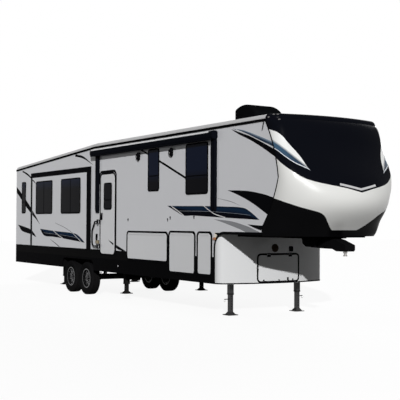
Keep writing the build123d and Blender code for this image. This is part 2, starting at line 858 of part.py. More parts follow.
def axle(station):
    """Axle tube with its spring seats, brake drums and spindles."""
    x = at(station)
    across = Rot(X=90)
    drum_inner = wheel_y - tyre_width / 2 + 10
    drum_middle = drum_inner + drum_width / 2
    outer_end = wheel_y + spindle_end
    seat_top = axle_height + axle_tube_diameter / 2 + spring_seat_height
    body = Pos(x, 0, axle_height) * (across * Cylinder(axle_tube_diameter / 2, 2 * drum_inner))
    for side in (-1, 1):
        drum = Cylinder(drum_diameter / 2, drum_width)
        body += Pos(x, side * drum_middle, axle_height) * (across * drum)
        spindle = Cylinder(spindle_diameter / 2, outer_end - drum_inner)
        body += Pos(x, side * (drum_inner + outer_end) / 2, axle_height) * (across * spindle)
        y = side * spring_y
        body += corner_box(x - 2 * spring_seat_half, x + 2 * spring_seat_half, y - spring_seat_half,
                           y + spring_seat_half, axle_height, seat_top)
    return body


def leaf(length, camber, level, thickness, y_middle, x_middle):
    """One curved leaf, ends up, its lowest point at the given level."""
    half = length / 2
    radius = (half ** 2 + camber ** 2) / (2 * camber)
    angle = degrees(2 * atan2(camber, half))
    inner = radius - thickness
    reach = radians(angle)
    points = [
        (-radius * sin(reach), radius - radius * cos(reach)), (0, 0),
        (radius * sin(reach), radius - radius * cos(reach)),
        (inner * sin(reach), radius - inner * cos(reach)), (0, thickness),
        (-inner * sin(reach), radius - inner * cos(reach)),
    ]
    points = [(x_middle + x, level + z) for x, z in points]
    edges = [
        ThreePointArc(points[0], points[1], points[2]),
        Line(points[2], points[3]),
        ThreePointArc(points[3], points[4], points[5]),
        Line(points[5], points[0]),
    ]
    outline = make_face(Wire([edge.edge() for edge in edges]))
    return elevation_prism(outline, y_middle - spring_width / 2, y_middle + spring_width / 2)


def spring_set(side):
    """Two leaf springs of one side with the equalizer between them and their hangers."""
    y = side * spring_y
    seat = axle_height + axle_tube_diameter / 2 + spring_seat_height
    first_leaf = seat + leaf_thickness
    leaf_rise = leaf_thickness - leaf_lap
    front_axle_station = rear_axle_station + axle_spacing
    middle_station = rear_axle_station + axle_spacing / 2
    leaf_lengths = [spring_length - leaf_step * index for index in range(leaf_count)]
    clip_y = hanger_width / 2 + 2
    clip_top = first_leaf + leaf_count * leaf_rise + 10
    parts = None
    for station in (rear_axle_station, front_axle_station):
        x = at(station)
        stack = corner_box(x - spring_clip - 10, x + spring_clip + 10, y - spring_seat_half,
                           y + spring_seat_half, seat, first_leaf + 2)
        for index, length in enumerate(reversed(leaf_lengths)):
            camber = spring_camber * (length / spring_length) ** 2
            stack += leaf(length, camber, first_leaf + index * leaf_rise, leaf_thickness, y, x)
        stack += corner_box(x - spring_clip, x + spring_clip, y - clip_y, y + clip_y,
                            first_leaf, clip_top)
        parts = stack if parts is None else parts + stack
    eye_height = first_leaf + (leaf_count - 1) * leaf_rise + spring_camber + leaf_thickness / 2
    half = spring_length / 2
    eye_stations = (rear_axle_station - half, rear_axle_station + half,
                    front_axle_station - half, front_axle_station + half)
    for station in eye_stations:
        parts += Pos(at(station), y, eye_height) * (Rot(X=90) * Cylinder(eye_radius, hanger_width))
    hanger_from, hanger_to = y - hanger_width / 2, y + hanger_width / 2
    for station in (eye_stations[0], middle_station, eye_stations[3]):
        parts += elevation_polygon(
            ((station - hanger_foot, rail_bottom), (station + hanger_foot, rail_bottom),
             (station + hanger_head, eye_height - hanger_head),
             (station - hanger_head, eye_height - hanger_head)),
            hanger_from, hanger_to,
        )
    tail, head = eye_stations[1] - eye_radius, eye_stations[2] + eye_radius
    low, high = eye_height - 12, eye_height + 14
    parts += elevation_polygon(
        ((tail, low), (tail, high), (middle_station, eye_height + equalizer_rise), (head, high),
         (head, low), (middle_station, eye_height - eye_radius - 2)),
        y - eye_radius, y + eye_radius,
    )
    return parts


def tyre():
    """Tyre about the Y axis, centred on the origin: rounded shoulders, round bead."""
    outer = tyre_diameter / 2
    bead = rim_diameter / 2 + tyre_bead_gap
    seat = rim_width / 2 - rim_lip_width - 1
    half = tyre_width / 2
    edge = outer - tyre_crown
    tread_half = half - 31
    right = [
        (bead, seat), (bead + 10, seat), (bead + 22, seat + 12), (bead + 85, half),
        (outer - tyre_shoulder, half - 8), (outer - 12, half - 14), (edge, tread_half),
    ]
    left = [(radius, -y) for radius, y in right]
    profile = [
        Line(left[0], right[0]),
        Line(right[0], right[1]),
        Line(right[1], right[2]),
        ThreePointArc(right[2], right[3], right[4]),
        ThreePointArc(right[4], right[5], right[6]),
        ThreePointArc(right[6], (outer, 0), left[6]),
        ThreePointArc(left[6], left[5], left[4]),
        ThreePointArc(left[4], left[3], left[2]),
        Line(left[2], left[1]),
        Line(left[1], left[0]),
    ]
    face = make_face(Wire([edge.edge() for edge in profile]))
    return revolve(face, axis=Axis.Y)


def rim(side):
    """Alloy wheel about the Y axis: barrel, spoked disc and hub cap on the outer side."""
    bead = rim_diameter / 2
    half = rim_width / 2
    barrel = Rot(X=90) * (Cylinder(bead, rim_width) - Cylinder(bead - rim_wall, rim_width + 2))
    lip = Rot(X=90) * (Cylinder(bead + 8, rim_lip_width) - Cylinder(bead - rim_wall - 6, rim_lip_width + 2))
    disc_thickness = 30
    disc_y = half - spoke_face_inset - disc_thickness / 2
    hub_radius = spindle_diameter / 2 + seat_gap
    disc = Rot(X=90) * (Cylinder(bead - 2, disc_thickness) - Cylinder(hub_radius, disc_thickness + 2))
    inner_radius = rim_hub_diameter / 2 + 8
    outer_radius = bead - rim_wall - 10
    window_angle = 360 / spoke_count
    half_inner = radians(window_angle * 0.22)
    half_outer = radians(window_angle * 0.36)
    corners = [
        (inner_radius * cos(half_inner), -inner_radius * sin(half_inner)),
        (outer_radius * cos(half_outer), -outer_radius * sin(half_outer)),
        (outer_radius * 1.01, 0),
        (outer_radius * cos(half_outer), outer_radius * sin(half_outer)),
        (inner_radius * cos(half_inner), inner_radius * sin(half_inner)),
    ]
    edges = [
        Line(corners[0], corners[1]),
        ThreePointArc(corners[1], corners[2], corners[3]),
        Line(corners[3], corners[4]),
        Line(corners[4], corners[0]),
    ]
    window = extrude(make_face(Wire([edge.edge() for edge in edges])), amount=disc_thickness, both=True)
    for index in range(spoke_count):
        disc -= Rot(X=90) * (Rot(Z=index * window_angle) * window)
    cap_length = spoke_face_inset - 6
    cap = Pos(0, disc_thickness / 2 + cap_length / 2, 0) * (Rot(X=90) * Cylinder(hub_cap_diameter / 2, cap_length))
    lip_y = half - rim_lip_width / 2
    wheel = barrel + Pos(0, lip_y, 0) * lip + Pos(0, -lip_y, 0) * lip
    wheel += Pos(0, disc_y, 0) * (disc + cap)
    return wheel if side > 0 else mirror(wheel, about=Plane.XZ)


def foot(side_length, cone):
    """Square foot plate with its cone, standing on Z = 0."""
    low, high, rise = cone
    plate = extrude(RectangleRounded(side_length, side_length, foot_corner), amount=foot_thickness)
    return plate + Pos(0, 0, foot_thickness) * loft([Rectangle(low, low), Pos(0, 0, rise) * Rectangle(high, high)])


def landing_leg(side):
    """Front leg: sleeve, inner tube and foot, bolted to the end of the rail."""
    x = at(leg_station)
    y = side * leg_y
    half = leg_outer / 2
    leg = corner_box(x - half, x + half, y - half, y + half, leg_sleeve_bottom, drop_top)
    inner = leg_inner / 2
    leg += corner_box(x - inner, x + inner, y - inner, y + inner, foot_thickness, leg_sleeve_bottom + 50)
    leg += Pos(x, y, 0) * foot(leg_foot, leg_cone)
    pad_half = leg_pad_height / 2
    leg += corner_box(at(rail_front), x, y - pad_half, y + pad_half, rail_bottom + 5, drop_top - 5)
    pin = Rot(X=90) * Cylinder(leg_pin_radius, leg_pin_reach)
    leg += Pos(x, y + side * (inner + leg_pin_reach / 2 - 13), leg_pin_height) * pin
    return leg


def stabilizer_jack(side, station):
    """Hydraulic jack beside a rail, its foot drawn up."""
    x = at(station)
    y = side * jack_y
    half = jack_outer / 2
    jack = corner_box(x - half, x + half, y - half, y + half, jack_sleeve_bottom, jack_top)
    inner = jack_inner / 2
    jack += corner_box(x - inner, x + inner, y - inner, y + inner, jack_foot_height + foot_thickness,
                       jack_sleeve_bottom + 30)
    jack += Pos(x, y, jack_foot_height) * foot(jack_foot, jack_cone)
    y_from, y_to = side_span(side, rail_y + rail_flange / 2, jack_y)
    for z_from in (rail_bottom + bracket_thickness, jack_top - bracket_thickness):
        jack += corner_box(x - jack_bracket_half, x + jack_bracket_half, y_from, y_to, z_from,
                           z_from + bracket_thickness)
    return jack


def entry_door():
    """Entry door leaf with its window cut and its latch on the rear edge."""
    outer = half_width + door_proud
    leaf_solid = rounded_panel(door_rear_station, door_front_station, door_bottom, door_top,
                               door_corner, -outer, -outer + door_thickness)
    leaf_solid -= rounded_panel(door_window_rear + glass_rebate, door_window_front - glass_rebate,
                                door_window_bottom + glass_rebate, door_window_top - glass_rebate,
                                side_window_corner - glass_rebate, -half_width - 50, -half_width + 100)
    latch_rear = door_rear_station + latch_inset
    latch = rounded_panel(latch_rear, latch_rear + latch_width, latch_bottom, latch_top,
                          latch_corner, -outer - latch_depth, -outer)
    barrel_y = hinge_y(door_frame_proud)
    flange_y = half_width + door_frame_proud + seat_gap
    z_from, z_to = door_bottom + door_corner, door_top - door_corner
    hinge = corner_box(at(door_front_station - hinge_strap), at(door_front_station + hinge_offset),
                       -barrel_y, -flange_y, z_from, z_to)
    hinge += corner_box(at(door_front_station - hinge_strap), at(door_front_station),
                        -barrel_y, -outer, z_from, z_to)
    barrel = Pos(at(door_front_station + hinge_offset), -barrel_y, (z_from + z_to) / 2)
    hinge += barrel * Cylinder(hinge_radius, z_to - z_from)
    return leaf_solid + latch + hinge


def entry_door_frame():
    """Flange on the wall round the entry door."""
    grow = running_gap
    around = grow + door_frame_width
    flange = rounded_panel(door_rear_station - around, door_front_station + around,
                           door_bottom - around, door_top + around, door_corner + around,
                           -half_width - door_frame_proud, -half_width)
    flange -= rounded_panel(door_rear_station - grow, door_front_station + grow,
                            door_bottom - grow, door_top + grow, door_corner + grow,
                            -half_width - 50, -half_width + 50)
    return flange


def window_pane(station_from, station_to, bottom, top, seat, side):
    """Pane glued on the outside of a wall whose skin is at seat."""
    y_from, y_to = side_span(side, seat, seat + glass_thickness)
    return rounded_panel(station_from, station_to, bottom, top, side_window_corner, y_from, y_to)


def slide_room(side):
    """Slide room: a box open to the cabin behind a wide outer skin with two windows."""
    box_rear, box_front = slide_edges()
    box_bottom, box_top = slide_heights()
    outer = half_width + slide_skin + seat_gap
    skin_from, skin_to = side_span(side, outer - slide_skin, outer)
    skin = elevation_polygon(
        (
            (slide_rear_station + slide_trim_rear, slide_bottom),
            (slide_rear_station + slide_trim_rear, slide_top - slide_trim_top),
            (slide_front_station - slide_trim_front, slide_top - slide_trim_top),
            (slide_front_station - slide_trim_front, slide_bottom),
        ),
        skin_from, skin_to,
    )
    box_from, box_to = side_span(side, outer - slide_depth, outer - slide_skin)
    wall = slide_box_wall
    box = corner_box(at(box_rear), at(box_front), box_from, box_to, box_bottom, box_top)
    hollow_from, hollow_to = side_span(side, outer - slide_depth - 10, outer - slide_skin - 22)
    box -= corner_box(at(box_rear + wall), at(box_front - wall), hollow_from, hollow_to,
                      box_bottom + wall, box_top - wall)
    room = skin + box
    cut_from, cut_to = side_span(side, half_width - 100, outer + 50)
    for rear, front in slide_windows:
        room -= rounded_panel(rear + glass_rebate, front - glass_rebate,
                              slide_window_bottom + glass_rebate, slide_window_top - glass_rebate,
                              side_window_corner - glass_rebate, cut_from, cut_to)
    return room


def slide_trim(side):
    """Flange round the slide room's skin: rear strip, top band and wide front strip."""
    outer = half_width + slide_skin + seat_gap
    y_from, y_to = side_span(side, outer - slide_skin, outer)
    whole = elevation_polygon(
        (
            (slide_rear_station, slide_bottom), (slide_rear_station, slide_top),
            (slide_front_station, slide_top), (slide_front_station, slide_bottom),
        ),
        y_from, y_to,
    )
    whole -= elevation_polygon(
        (
            (slide_rear_station + slide_trim_rear, slide_bottom - 10),
            (slide_rear_station + slide_trim_rear, slide_top - slide_trim_top),
            (slide_front_station - slide_trim_front, slide_top - slide_trim_top),
            (slide_front_station - slide_trim_front, slide_bottom - 10),
        ),
        y_from - 10, y_to + 10,
    )
    return whole


def grab_handle():
    """Folding grab handle: a bowed tube with an upright sleeve at each end, folded on the wall."""
    x, y = at(grab_station), -half_width - grab_standoff
    radius = grab_tube / 2
    upper, lower = grab_top - grab_sleeve / 2, grab_bottom + grab_sleeve / 2
    grip = x - grab_reach
    points = [
        (x, y, upper), (grip + 150, y, upper), (grip, y, upper - grab_slant),
        (grip, y, lower + 70), (grip + 70, y, lower), (x, y, lower),
    ]
    path = FilletPolyline(*points, radius=45)
    tube = sweep(Plane(origin=points[0], z_dir=(-1, 0, 0)) * Circle(radius), path=path)
    for z in (upper, lower):
        tube += Pos(x, y, z) * Cylinder(radius + 2, grab_sleeve)
    return tube


def grab_brackets():
    """Two wall brackets, each with a lug above and below the sleeve that it holds."""
    x, y = at(grab_station), -half_width - grab_standoff
    half, lug = grab_lug[0] / 2, grab_lug[1]
    gap = grab_sleeve / 2 + seat_gap
    parts = []
    for z in (grab_top - grab_sleeve / 2, grab_bottom + grab_sleeve / 2):
        bracket = corner_box(x - half, x + half, -half_width - grab_plate, -half_width,
                             z - gap - lug, z + gap + lug)
        for z_from, z_to in ((z + gap, z + gap + lug), (z - gap - lug, z - gap)):
            arm = corner_box(x - half, x + half, y, -half_width, z_from, z_to)
            bracket += arm + Pos(x, y, (z_from + z_to) / 2) * Cylinder(half, lug)
        parts.append(bracket)
    return parts


def awning_housing():
    """Case of the rolled awning along the upper wall, round at its outer edges."""
    outer = half_width + awning_depth
    section = [
        (half_width, awning_bottom), (half_width, awning_top),
        (outer, awning_top), (outer, awning_bottom),
    ]
    plane = Plane(origin=(at(awning_rear_station), 0, 0), x_dir=(0, 1, 0), z_dir=(1, 0, 0))
    shape = make_face(Polyline(*[(-y, z) for y, z in section], close=True))
    case = extrude(plane * shape, amount=awning_front_station - awning_rear_station)
    outer_edges = [edge for edge in case.edges().filter_by(Axis.X) if edge.center().Y < -half_width - 50]
    return fillet(outer_edges, 45)


def awning_arms():
    """Two folded arms that hang below the awning case, against the wall."""
    parts = []
    y_from, y_to = side_span(-1, half_width, half_width + awning_arm_depth)
    for station in awning_arm_stations:
        half = awning_arm_width / 2
        arm = corner_box(at(station) - half, at(station) + half, y_from, y_to, awning_arm_bottom,
                         awning_bottom)
        foot_edges = arm.edges().filter_by(Axis.Z).sort_by(Axis.Y)[:2]
        parts.append(fillet(foot_edges, 14))
    return parts


def air_conditioner():
    """Roof air conditioner: a crowned shroud, higher at the rear and round at every edge."""
    base = wall_top + roof_thickness
    rear = at(cooler_station - cooler_length / 2)
    front = rear + cooler_length
    crest = (rear + 0.45 * cooler_length, base + cooler_height)
    edges = [
        Line((rear, base), (rear + 6, base + cooler_rear_height)),
        ThreePointArc((rear + 6, base + cooler_rear_height), crest, (front - 22, base + cooler_front_height)),
        Line((front - 22, base + cooler_front_height), (front, base)),
        Line((front, base), (rear, base)),
    ]
    side_view = make_face(Wire([edge.edge() for edge in edges]))
    shroud = elevation_prism(side_view, -cooler_width / 2, cooler_width / 2)
    plan = RectangleRounded(cooler_length, cooler_width, cooler_corner)
    column = Pos((rear + front) / 2, 0, base - 1) * extrude(plan, amount=cooler_height + 20)
    shroud &= column
    top_edges = [edge for edge in shroud.edges() if edge.center().Z > base + cooler_front_height - 25]
    return fillet(top_edges, cooler_edge)


def roof_vents():
    """Two low roof vents with round-edged covers."""
    parts = []
    for station in vent_stations:
        tilt = atan2(wall_top - wall_top_rear, slope_station) if station < slope_station else 0
        height = roof_height(station)
        cover = Pos(0, 0, vent_height / 2) * Box(vent_size, vent_size, vent_height)
        cover = fillet(cover.edges().filter_by(Axis.Z), 50)
        cover = fillet(cover.faces().sort_by(Axis.Z)[-1].edges(), 30)
        parts.append(Pos(at(station), 0, height) * (Rot(Y=-degrees(tilt)) * cover))
    return parts


def rear_bumper():
    """Square bumper tube on two arms from the rails."""
    x_to = at(0) - 10
    x_from = x_to - bumper_size
    tube = corner_box(x_from, x_to, -bumper_width / 2, bumper_width / 2, skirt_bottom + 20,
                      skirt_bottom + 20 + bumper_size)
    tube = fillet(tube.edges().filter_by(Axis.Y), 12)
    for side in (-1, 1):
        tube += corner_box(x_to - 5, at(0), side * rail_y - 50, side * rail_y + 50,
                           skirt_bottom + 35, skirt_bottom + bumper_size)
    return tube


def ladder():
    """Roof ladder on the rear wall: two rails that bend over the roof's edge, with rungs."""
    x = at(0) - rear_reach + ladder_tube / 2
    radius = ladder_tube / 2
    top = wall_top_rear + roof_thickness + ladder_rise
    bottom = ladder_bottom
    rails = None
    for side in (-1, 1):
        y = ladder_y + side * ladder_width / 2
        points = [
            (at(0), y, bottom), (x, y, bottom), (x, y, top), (at(ladder_foot_station), y, top),
            (at(ladder_foot_station), y, roof_height(ladder_foot_station) + 1),
        ]
        path = FilletPolyline(*points, radius=50)
        start = Plane(origin=points[0], z_dir=(-1, 0, 0))
        rail = sweep(start * Circle(radius), path=path)
        rails = rail if rails is None else rails + rail
    for index in range(ladder_rungs):
        z = bottom + 150 + index * ladder_rung_pitch
        rails += Pos(x, ladder_y, z) * (Rot(X=90) * Cylinder(radius * 0.8, ladder_width))
    return rails


def tail_lamps():
    """Tall tail lamps near the rear corners."""
    parts = []
    for side in (-1, 1):
        plane = Plane(origin=(at(0), side * tail_lamp_y, tail_lamp_height), x_dir=(0, 1, 0),
                      z_dir=(-1, 0, 0))
        shape = RectangleRounded(*tail_lamp_size, tail_lamp_corner)
        parts.append(extrude(plane * shape, amount=tail_lamp_depth))
    return parts


def marker_lamps():
    """Amber side markers before the baggage doors."""
    parts = []
    for side in (-1, 1):
        y_from, y_to = side_span(side, half_width, half_width + marker_depth)
        parts.append(rounded_panel(marker_rear_station, marker_front_station, marker_bottom,
                                   marker_top, marker_depth, y_from, y_to))
    return parts


def wall_lamps():
    """Two small dark lamps under the awning."""
    half = wall_lamp_width / 2
    return [
        rounded_panel(station - half, station + half, wall_lamp_bottom, wall_lamp_top,
                      wall_lamp_corner, -half_width - wall_lamp_depth, -half_width)
        for station in wall_lamp_stations
    ]


def waste_pipe():
    """Round storage tube for the waste hose, hung under the skirt between wheel and jack."""
    x_from, x_to = at(pipe_rear_station), at(pipe_front_station)
    y = -rail_y
    tube = Rot(Y=90) * Cylinder(pipe_diameter / 2, x_to - x_from)
    tube = Pos((x_from + x_to) / 2, y, pipe_height) * tube
    across, along = pipe_hanger_width / 2, pipe_hanger_thickness / 2
    for x in (x_from + pipe_hanger_inset, x_to - pipe_hanger_inset):
        tube += corner_box(x - along, x + along, y - across, y + across, pipe_height, rail_bottom)
    return tube


def build_parts():
    """Every node's solids, by the node's name."""
    nodes = {
        "frame_rails": [frame_rails()],
        "upper_frame": [upper_frame()],
        "pin_box": [pin_box()],
        "king_pin": [king_pin()],
        "underbelly": [underbelly()],
        "main_floor": [floor()],
        "upper_deck": [upper_deck()],
        "bay_floor": [bay_floor()],
        "curb_wall": [side_wall(-1)],
        "road_wall": [side_wall(1)],
        "rear_wall": [rear_wall()],
        "roof": [roof()],
        "drip_rails": [drip_rail(side) for side in (-1, 1)],
        "front_cap": [front_cap()],
        "skirts": [skirt(side) for side in (-1, 1)],
    }
    nose = lower_nose_shell()
    nodes["lower_nose"] = [nose - hatch_block(running_gap) - upper_rail_block(1) + hatch_hinge_pads()]
    nodes["nose_hatch"] = [(nose & hatch_block(0)) + hatch_hinges()]
    for name, side in (("curb", -1), ("road", 1)):
        nodes[name + "_slide_room"] = [slide_room(side)]
        nodes[name + "_slide_trim"] = [slide_trim(side)]
        seat = half_width + slide_skin + seat_gap
        nodes[name + "_slide_glass"] = [
            window_pane(rear, front, slide_window_bottom, slide_window_top, seat, side)
            for rear, front in slide_windows
        ]
    nodes["entry_door"] = [entry_door()]
    nodes["entry_door_frame"] = [entry_door_frame()]
    nodes["entry_door_glass"] = [
        window_pane(door_window_rear, door_window_front, door_window_bottom, door_window_top,
                    half_width + door_proud, -1)
    ]
    nodes["baggage_frames"] = [baggage_frame(*row[1:]) for row in baggage_doors]
    for name, *sizes in baggage_doors:
        nodes[name] = [baggage_leaf(*sizes)]
    panes = [window_pane(rear, front, bottom, top, half_width, side)
             for side, rear, front, bottom, top in side_windows]
    rear_plane = Plane(origin=(at(0), 0, (rear_window_bottom + rear_window_top) / 2),
                       x_dir=(0, 1, 0), z_dir=(-1, 0, 0))
    rear_shape = RectangleRounded(rear_window_width, rear_window_top - rear_window_bottom,
                                  side_window_corner)
    panes.append(extrude(rear_plane * rear_shape, amount=glass_thickness))
    nodes["fixed_glass"] = panes
    nodes["grab_handle"] = [grab_handle()]
    nodes["grab_brackets"] = grab_brackets()
    nodes["awning_housing"] = [awning_housing()]
    nodes["awning_arms"] = awning_arms()
    nodes["air_conditioner"] = [air_conditioner()]
    nodes["roof_vents"] = roof_vents()
    nodes["wheel_wells"] = [wheel_well(side) for side in (-1, 1)]
    nodes["axles"] = [axle(station) for station in (rear_axle_station, rear_axle_station + axle_spacing)]
    nodes["leaf_springs"] = [spring_set(side) for side in (-1, 1)]
    tyre_solid = tyre()
    for side_name, side in (("curb", -1), ("road", 1)):
        for end_name, station in (("rear", rear_axle_station), ("front", rear_axle_station + axle_spacing)):
            place = Pos(at(station), side * wheel_y, axle_height)
            nodes[f"tyre_{side_name}_{end_name}"] = [place * tyre_solid]
            nodes[f"rim_{side_name}_{end_name}"] = [place * rim(side)]
    nodes["landing_legs"] = [landing_leg(side) for side in (-1, 1)]
    nodes["stabilizer_jacks"] = [stabilizer_jack(side, station) for side in (-1, 1) for station in jack_stations]
    nodes["rear_bumper"] = [rear_bumper()]
    nodes["ladder"] = [ladder()]
    nodes["tail_lamps"] = tail_lamps()
    nodes["marker_lamps"] = marker_lamps()
    nodes["wall_lamps"] = wall_lamps()
    nodes["waste_pipe"] = [waste_pipe()]
    return nodes


os.makedirs("parts", exist_ok=True)
for node_name, solids in build_parts().items():
    bodies = [solid for shape in solids for solid in shape.solids()]
    export_step(bodies[0] if len(bodies) == 1 else Compound(children=bodies), f"parts/{node_name}.step")
    print(node_name, len(bodies))
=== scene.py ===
import json
import math

import bmesh
import bpy
import numpy as np
from mathutils import Matrix

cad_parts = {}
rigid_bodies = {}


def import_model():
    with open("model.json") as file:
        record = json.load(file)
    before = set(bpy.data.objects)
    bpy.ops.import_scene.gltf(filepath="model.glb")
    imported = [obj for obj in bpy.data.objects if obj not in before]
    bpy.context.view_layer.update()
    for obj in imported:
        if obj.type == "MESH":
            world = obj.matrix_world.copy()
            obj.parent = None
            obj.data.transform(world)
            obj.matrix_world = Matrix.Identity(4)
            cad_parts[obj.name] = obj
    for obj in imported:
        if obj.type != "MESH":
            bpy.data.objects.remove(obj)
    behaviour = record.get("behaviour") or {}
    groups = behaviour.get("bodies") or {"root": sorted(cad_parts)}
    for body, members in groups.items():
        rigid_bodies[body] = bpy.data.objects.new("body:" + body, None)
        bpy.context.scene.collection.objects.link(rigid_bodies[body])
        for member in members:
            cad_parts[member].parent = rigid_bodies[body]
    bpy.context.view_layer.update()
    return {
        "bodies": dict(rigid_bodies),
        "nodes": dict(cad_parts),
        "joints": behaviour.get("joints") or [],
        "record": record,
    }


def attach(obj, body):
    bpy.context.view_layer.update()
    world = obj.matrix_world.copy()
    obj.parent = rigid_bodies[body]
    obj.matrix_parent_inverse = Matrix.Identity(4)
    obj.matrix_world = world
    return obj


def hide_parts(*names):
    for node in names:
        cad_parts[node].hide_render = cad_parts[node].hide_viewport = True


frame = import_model()
nodes = frame["nodes"]
print("stage: frame loaded")

# The body's shared sizes in metres: walls at y = +-wallY, the rear wall's face at rearX, the
# slide rooms' and the entry door's outer skins at slideY and doorY, black paint below blackTop
body = {"wallY": 1.220, "slideY": 1.2483, "doorY": 1.224, "rearX": -6.510, "blackTop": 1.10}
sides = (("curb", -1), ("road", 1))


def station(distance):
    # X of a distance forward of the rear wall
    return body["rearX"] + distance


view = {"place": (17.751, -10.092, 1.731), "azimuth": 58.19, "pitch": 1.48, "roll": 0.29,
        "focalPixels": 884.6, "framePixels": 400, "sensor": 36, "reach": 200}


def addToScene(name, data):
    thing = bpy.data.objects.new(name, data)
    bpy.context.scene.collection.objects.link(thing)
    return thing


def columnMatrix(columns, place=(0, 0, 0)):
    # Matrix with three directions as its columns and a place
    matrix = Matrix([[*row, 0] for row in np.column_stack(columns)] + [[0, 0, 0, 1]])
    matrix.translation = place
    return matrix


def makeCamera():
    turn, tilt, roll = (math.radians(view[key]) for key in ("azimuth", "pitch", "roll"))
    forward = np.array([-math.sin(turn) * math.cos(tilt), math.cos(turn) * math.cos(tilt), math.sin(tilt)])
    level = np.array([math.cos(turn), math.sin(turn), 0.0])
    upward = np.cross(level, forward)
    right = level * math.cos(roll) + upward * math.sin(roll)
    up = upward * math.cos(roll) - level * math.sin(roll)
    lens = bpy.data.cameras.new("photoCamera")
    lens.sensor_width = view["sensor"]
    lens.lens = view["focalPixels"] / view["framePixels"] * view["sensor"]
    lens.clip_end = view["reach"]
    camera = addToScene("photoCamera", lens)
    camera.matrix_world = columnMatrix([right, up, -forward], view["place"])
    bpy.context.scene.camera = camera


light = {"sunStrength": 3.18, "sunSpread": 1.0, "sunFrom": (0.815, -0.457, 0.355), "sky": 0.115,
         "floorColour": 0.14, "floorLift": 0.90, "floorHalf": 60,
         "fillStrength": 1.25, "fillSpread": 30.0, "fillFrom": (-0.56, 0.74, 0.36)}


def makeSun(name, kind):
    sun = bpy.data.lights.new(name, "SUN")
    sun.energy = light[kind + "Strength"]
    sun.angle = math.radians(light[kind + "Spread"])
    towards = np.array(light[kind + "From"]) / np.linalg.norm(light[kind + "From"])
    side = np.cross((0, 0, 1), towards)
    side /= np.linalg.norm(side)
    addToScene(name, sun).matrix_world = columnMatrix([side, np.cross(towards, side), towards])


def seenRay(tree):
    # 1 for rays that reach the camera straight, mirrored or through glass
    rays = addNode(tree, "LightPath").outputs
    camera, glossy, through = (rays[f"Is {kind} Ray"] for kind in ("Camera", "Glossy", "Transmission"))
    return mathNode("MAXIMUM", mathNode("MAXIMUM", camera, glossy), through)


def makeLight():
    makeSun("keyLight", "sun")
    makeSun("fillLight", "fill")
    world = bpy.data.worlds.new("studio")
    bpy.context.scene.world = world
    tree = emptyTree(world)
    # Full white to the camera, a low level as light
    strength = scaled(seenRay(tree), 1 - light["sky"], light["sky"])
    sky = addNode(tree, "Background", Color=(1, 1, 1), Strength=strength)
    addNode(tree, "OutputWorld", Surface=sky.outputs[0])
    bpy.context.scene.view_settings.view_transform = "Standard"


def makeFloor():
    size = light["floorHalf"]
    mesh = bpy.data.meshes.new("studioFloor")
    mesh.from_pydata([(-size, -size, 0), (size, -size, 0), (size, size, 0), (-size, size, 0)], [], [(0, 1, 2, 3)])
    floor = addToScene("studioFloor", mesh)
    material = bpy.data.materials.new("studioFloor")
    tree = emptyTree(material)
    pale = addNode(tree, "BsdfDiffuse", Color=[light["floorColour"]] * 3)
    glow = addNode(tree, "Emission", Strength=times(seenRay(tree), light["floorLift"]))
    both = addNode(tree, "AddShader")
    for shader, socket in zip((pale, glow), both.inputs):
        plug(shader.outputs[0], socket)
    addNode(tree, "OutputMaterial", Surface=both.outputs[0])
    mesh.materials.append(material)


# Node helpers. A plug is a number, a colour or another node's output, and a node goes into
# the tree of the outputs that it is given


def plug(value, socket):
    if isinstance(value, bpy.types.NodeSocket):
        socket.id_data.links.new(value, socket)
    elif isinstance(value, (tuple, list)) and len(value) == 3 and socket.type == "RGBA":
        socket.default_value = (*value, 1)
    else:
        socket.default_value = value


def feed(node, **values):
    # Plugs a node's inputs by name, with an underscore for a space
    for label, value in values.items():
        plug(value, node.inputs[label.replace("_", " ")])
    return node


def addNode(tree, kind, **values):
    return feed(tree.nodes.new("ShaderNode" + kind), **values)


def emptyTree(owner):
    owner.use_nodes = True
    owner.node_tree.nodes.clear()
    return owner.node_tree


def mathNode(operation, *values, clamp=False):
    tree = next(value.id_data for value in values if isinstance(value, bpy.types.NodeSocket))
    node = addNode(tree, "Math")
    node.operation = operation
    node.use_clamp = clamp
    for value, socket in zip(values, node.inputs):
        plug(value, socket)
    return node.outputs[0]


def times(first, second):
    return mathNode("MULTIPLY", first, second)


def minus(first, second, clamp=False):
    return mathNode("SUBTRACT", first, second, clamp=clamp)


def scaled(value, factor, added, clamp=False):
    return mathNode("MULTIPLY_ADD", value, factor, added, clamp=clamp)


def mixColour(factor, first, second):
    node = addNode(factor.id_data, "Mix")
    node.data_type = "RGBA"
    for value, socket in ((factor, 0), (first, 6), (second, 7)):
        plug(value, node.inputs[socket])
    return node.outputs[2]


def noiseNode(vector, scale, detail, rough=0.5):
    node = addNode(vector.id_data, "TexNoise", Vector=vector, Scale=scale, Detail=detail, Roughness=rough)
    return node.outputs["Fac"]


def coordinates(tree):
    # The object's own coordinates, whole and as x, y and z
    place = addNode(tree, "TexCoord").outputs["Object"]
    return place, *addNode(tree, "SeparateXYZ", Vector=place).outputs


def above(value, level, softness=0.002):
    # 0 below the level, 1 above it, with a soft step between
    return scaled(minus(value, level), 1 / softness, 0.5, clamp=True)


def newGroup(name, inputs, outputs):
    group = bpy.data.node_groups.new(name, "ShaderNodeTree")
    for label, kind, value in inputs:
        socket = group.interface.new_socket(label, in_out="INPUT", socket_type="NodeSocket" + kind)
        socket.default_value = value
    for label, kind in outputs:
        group.interface.new_socket(label, in_out="OUTPUT", socket_type="NodeSocket" + kind)
    return group, group.nodes.new("NodeGroupInput").outputs, group.nodes.new("NodeGroupOutput")


dustSettings = {"colour": (0.30, 0.27, 0.22), "cloudScale": 1.7, "speckleScale": 23, "roughSpread": 0.08,
                "roughness": 0.4}


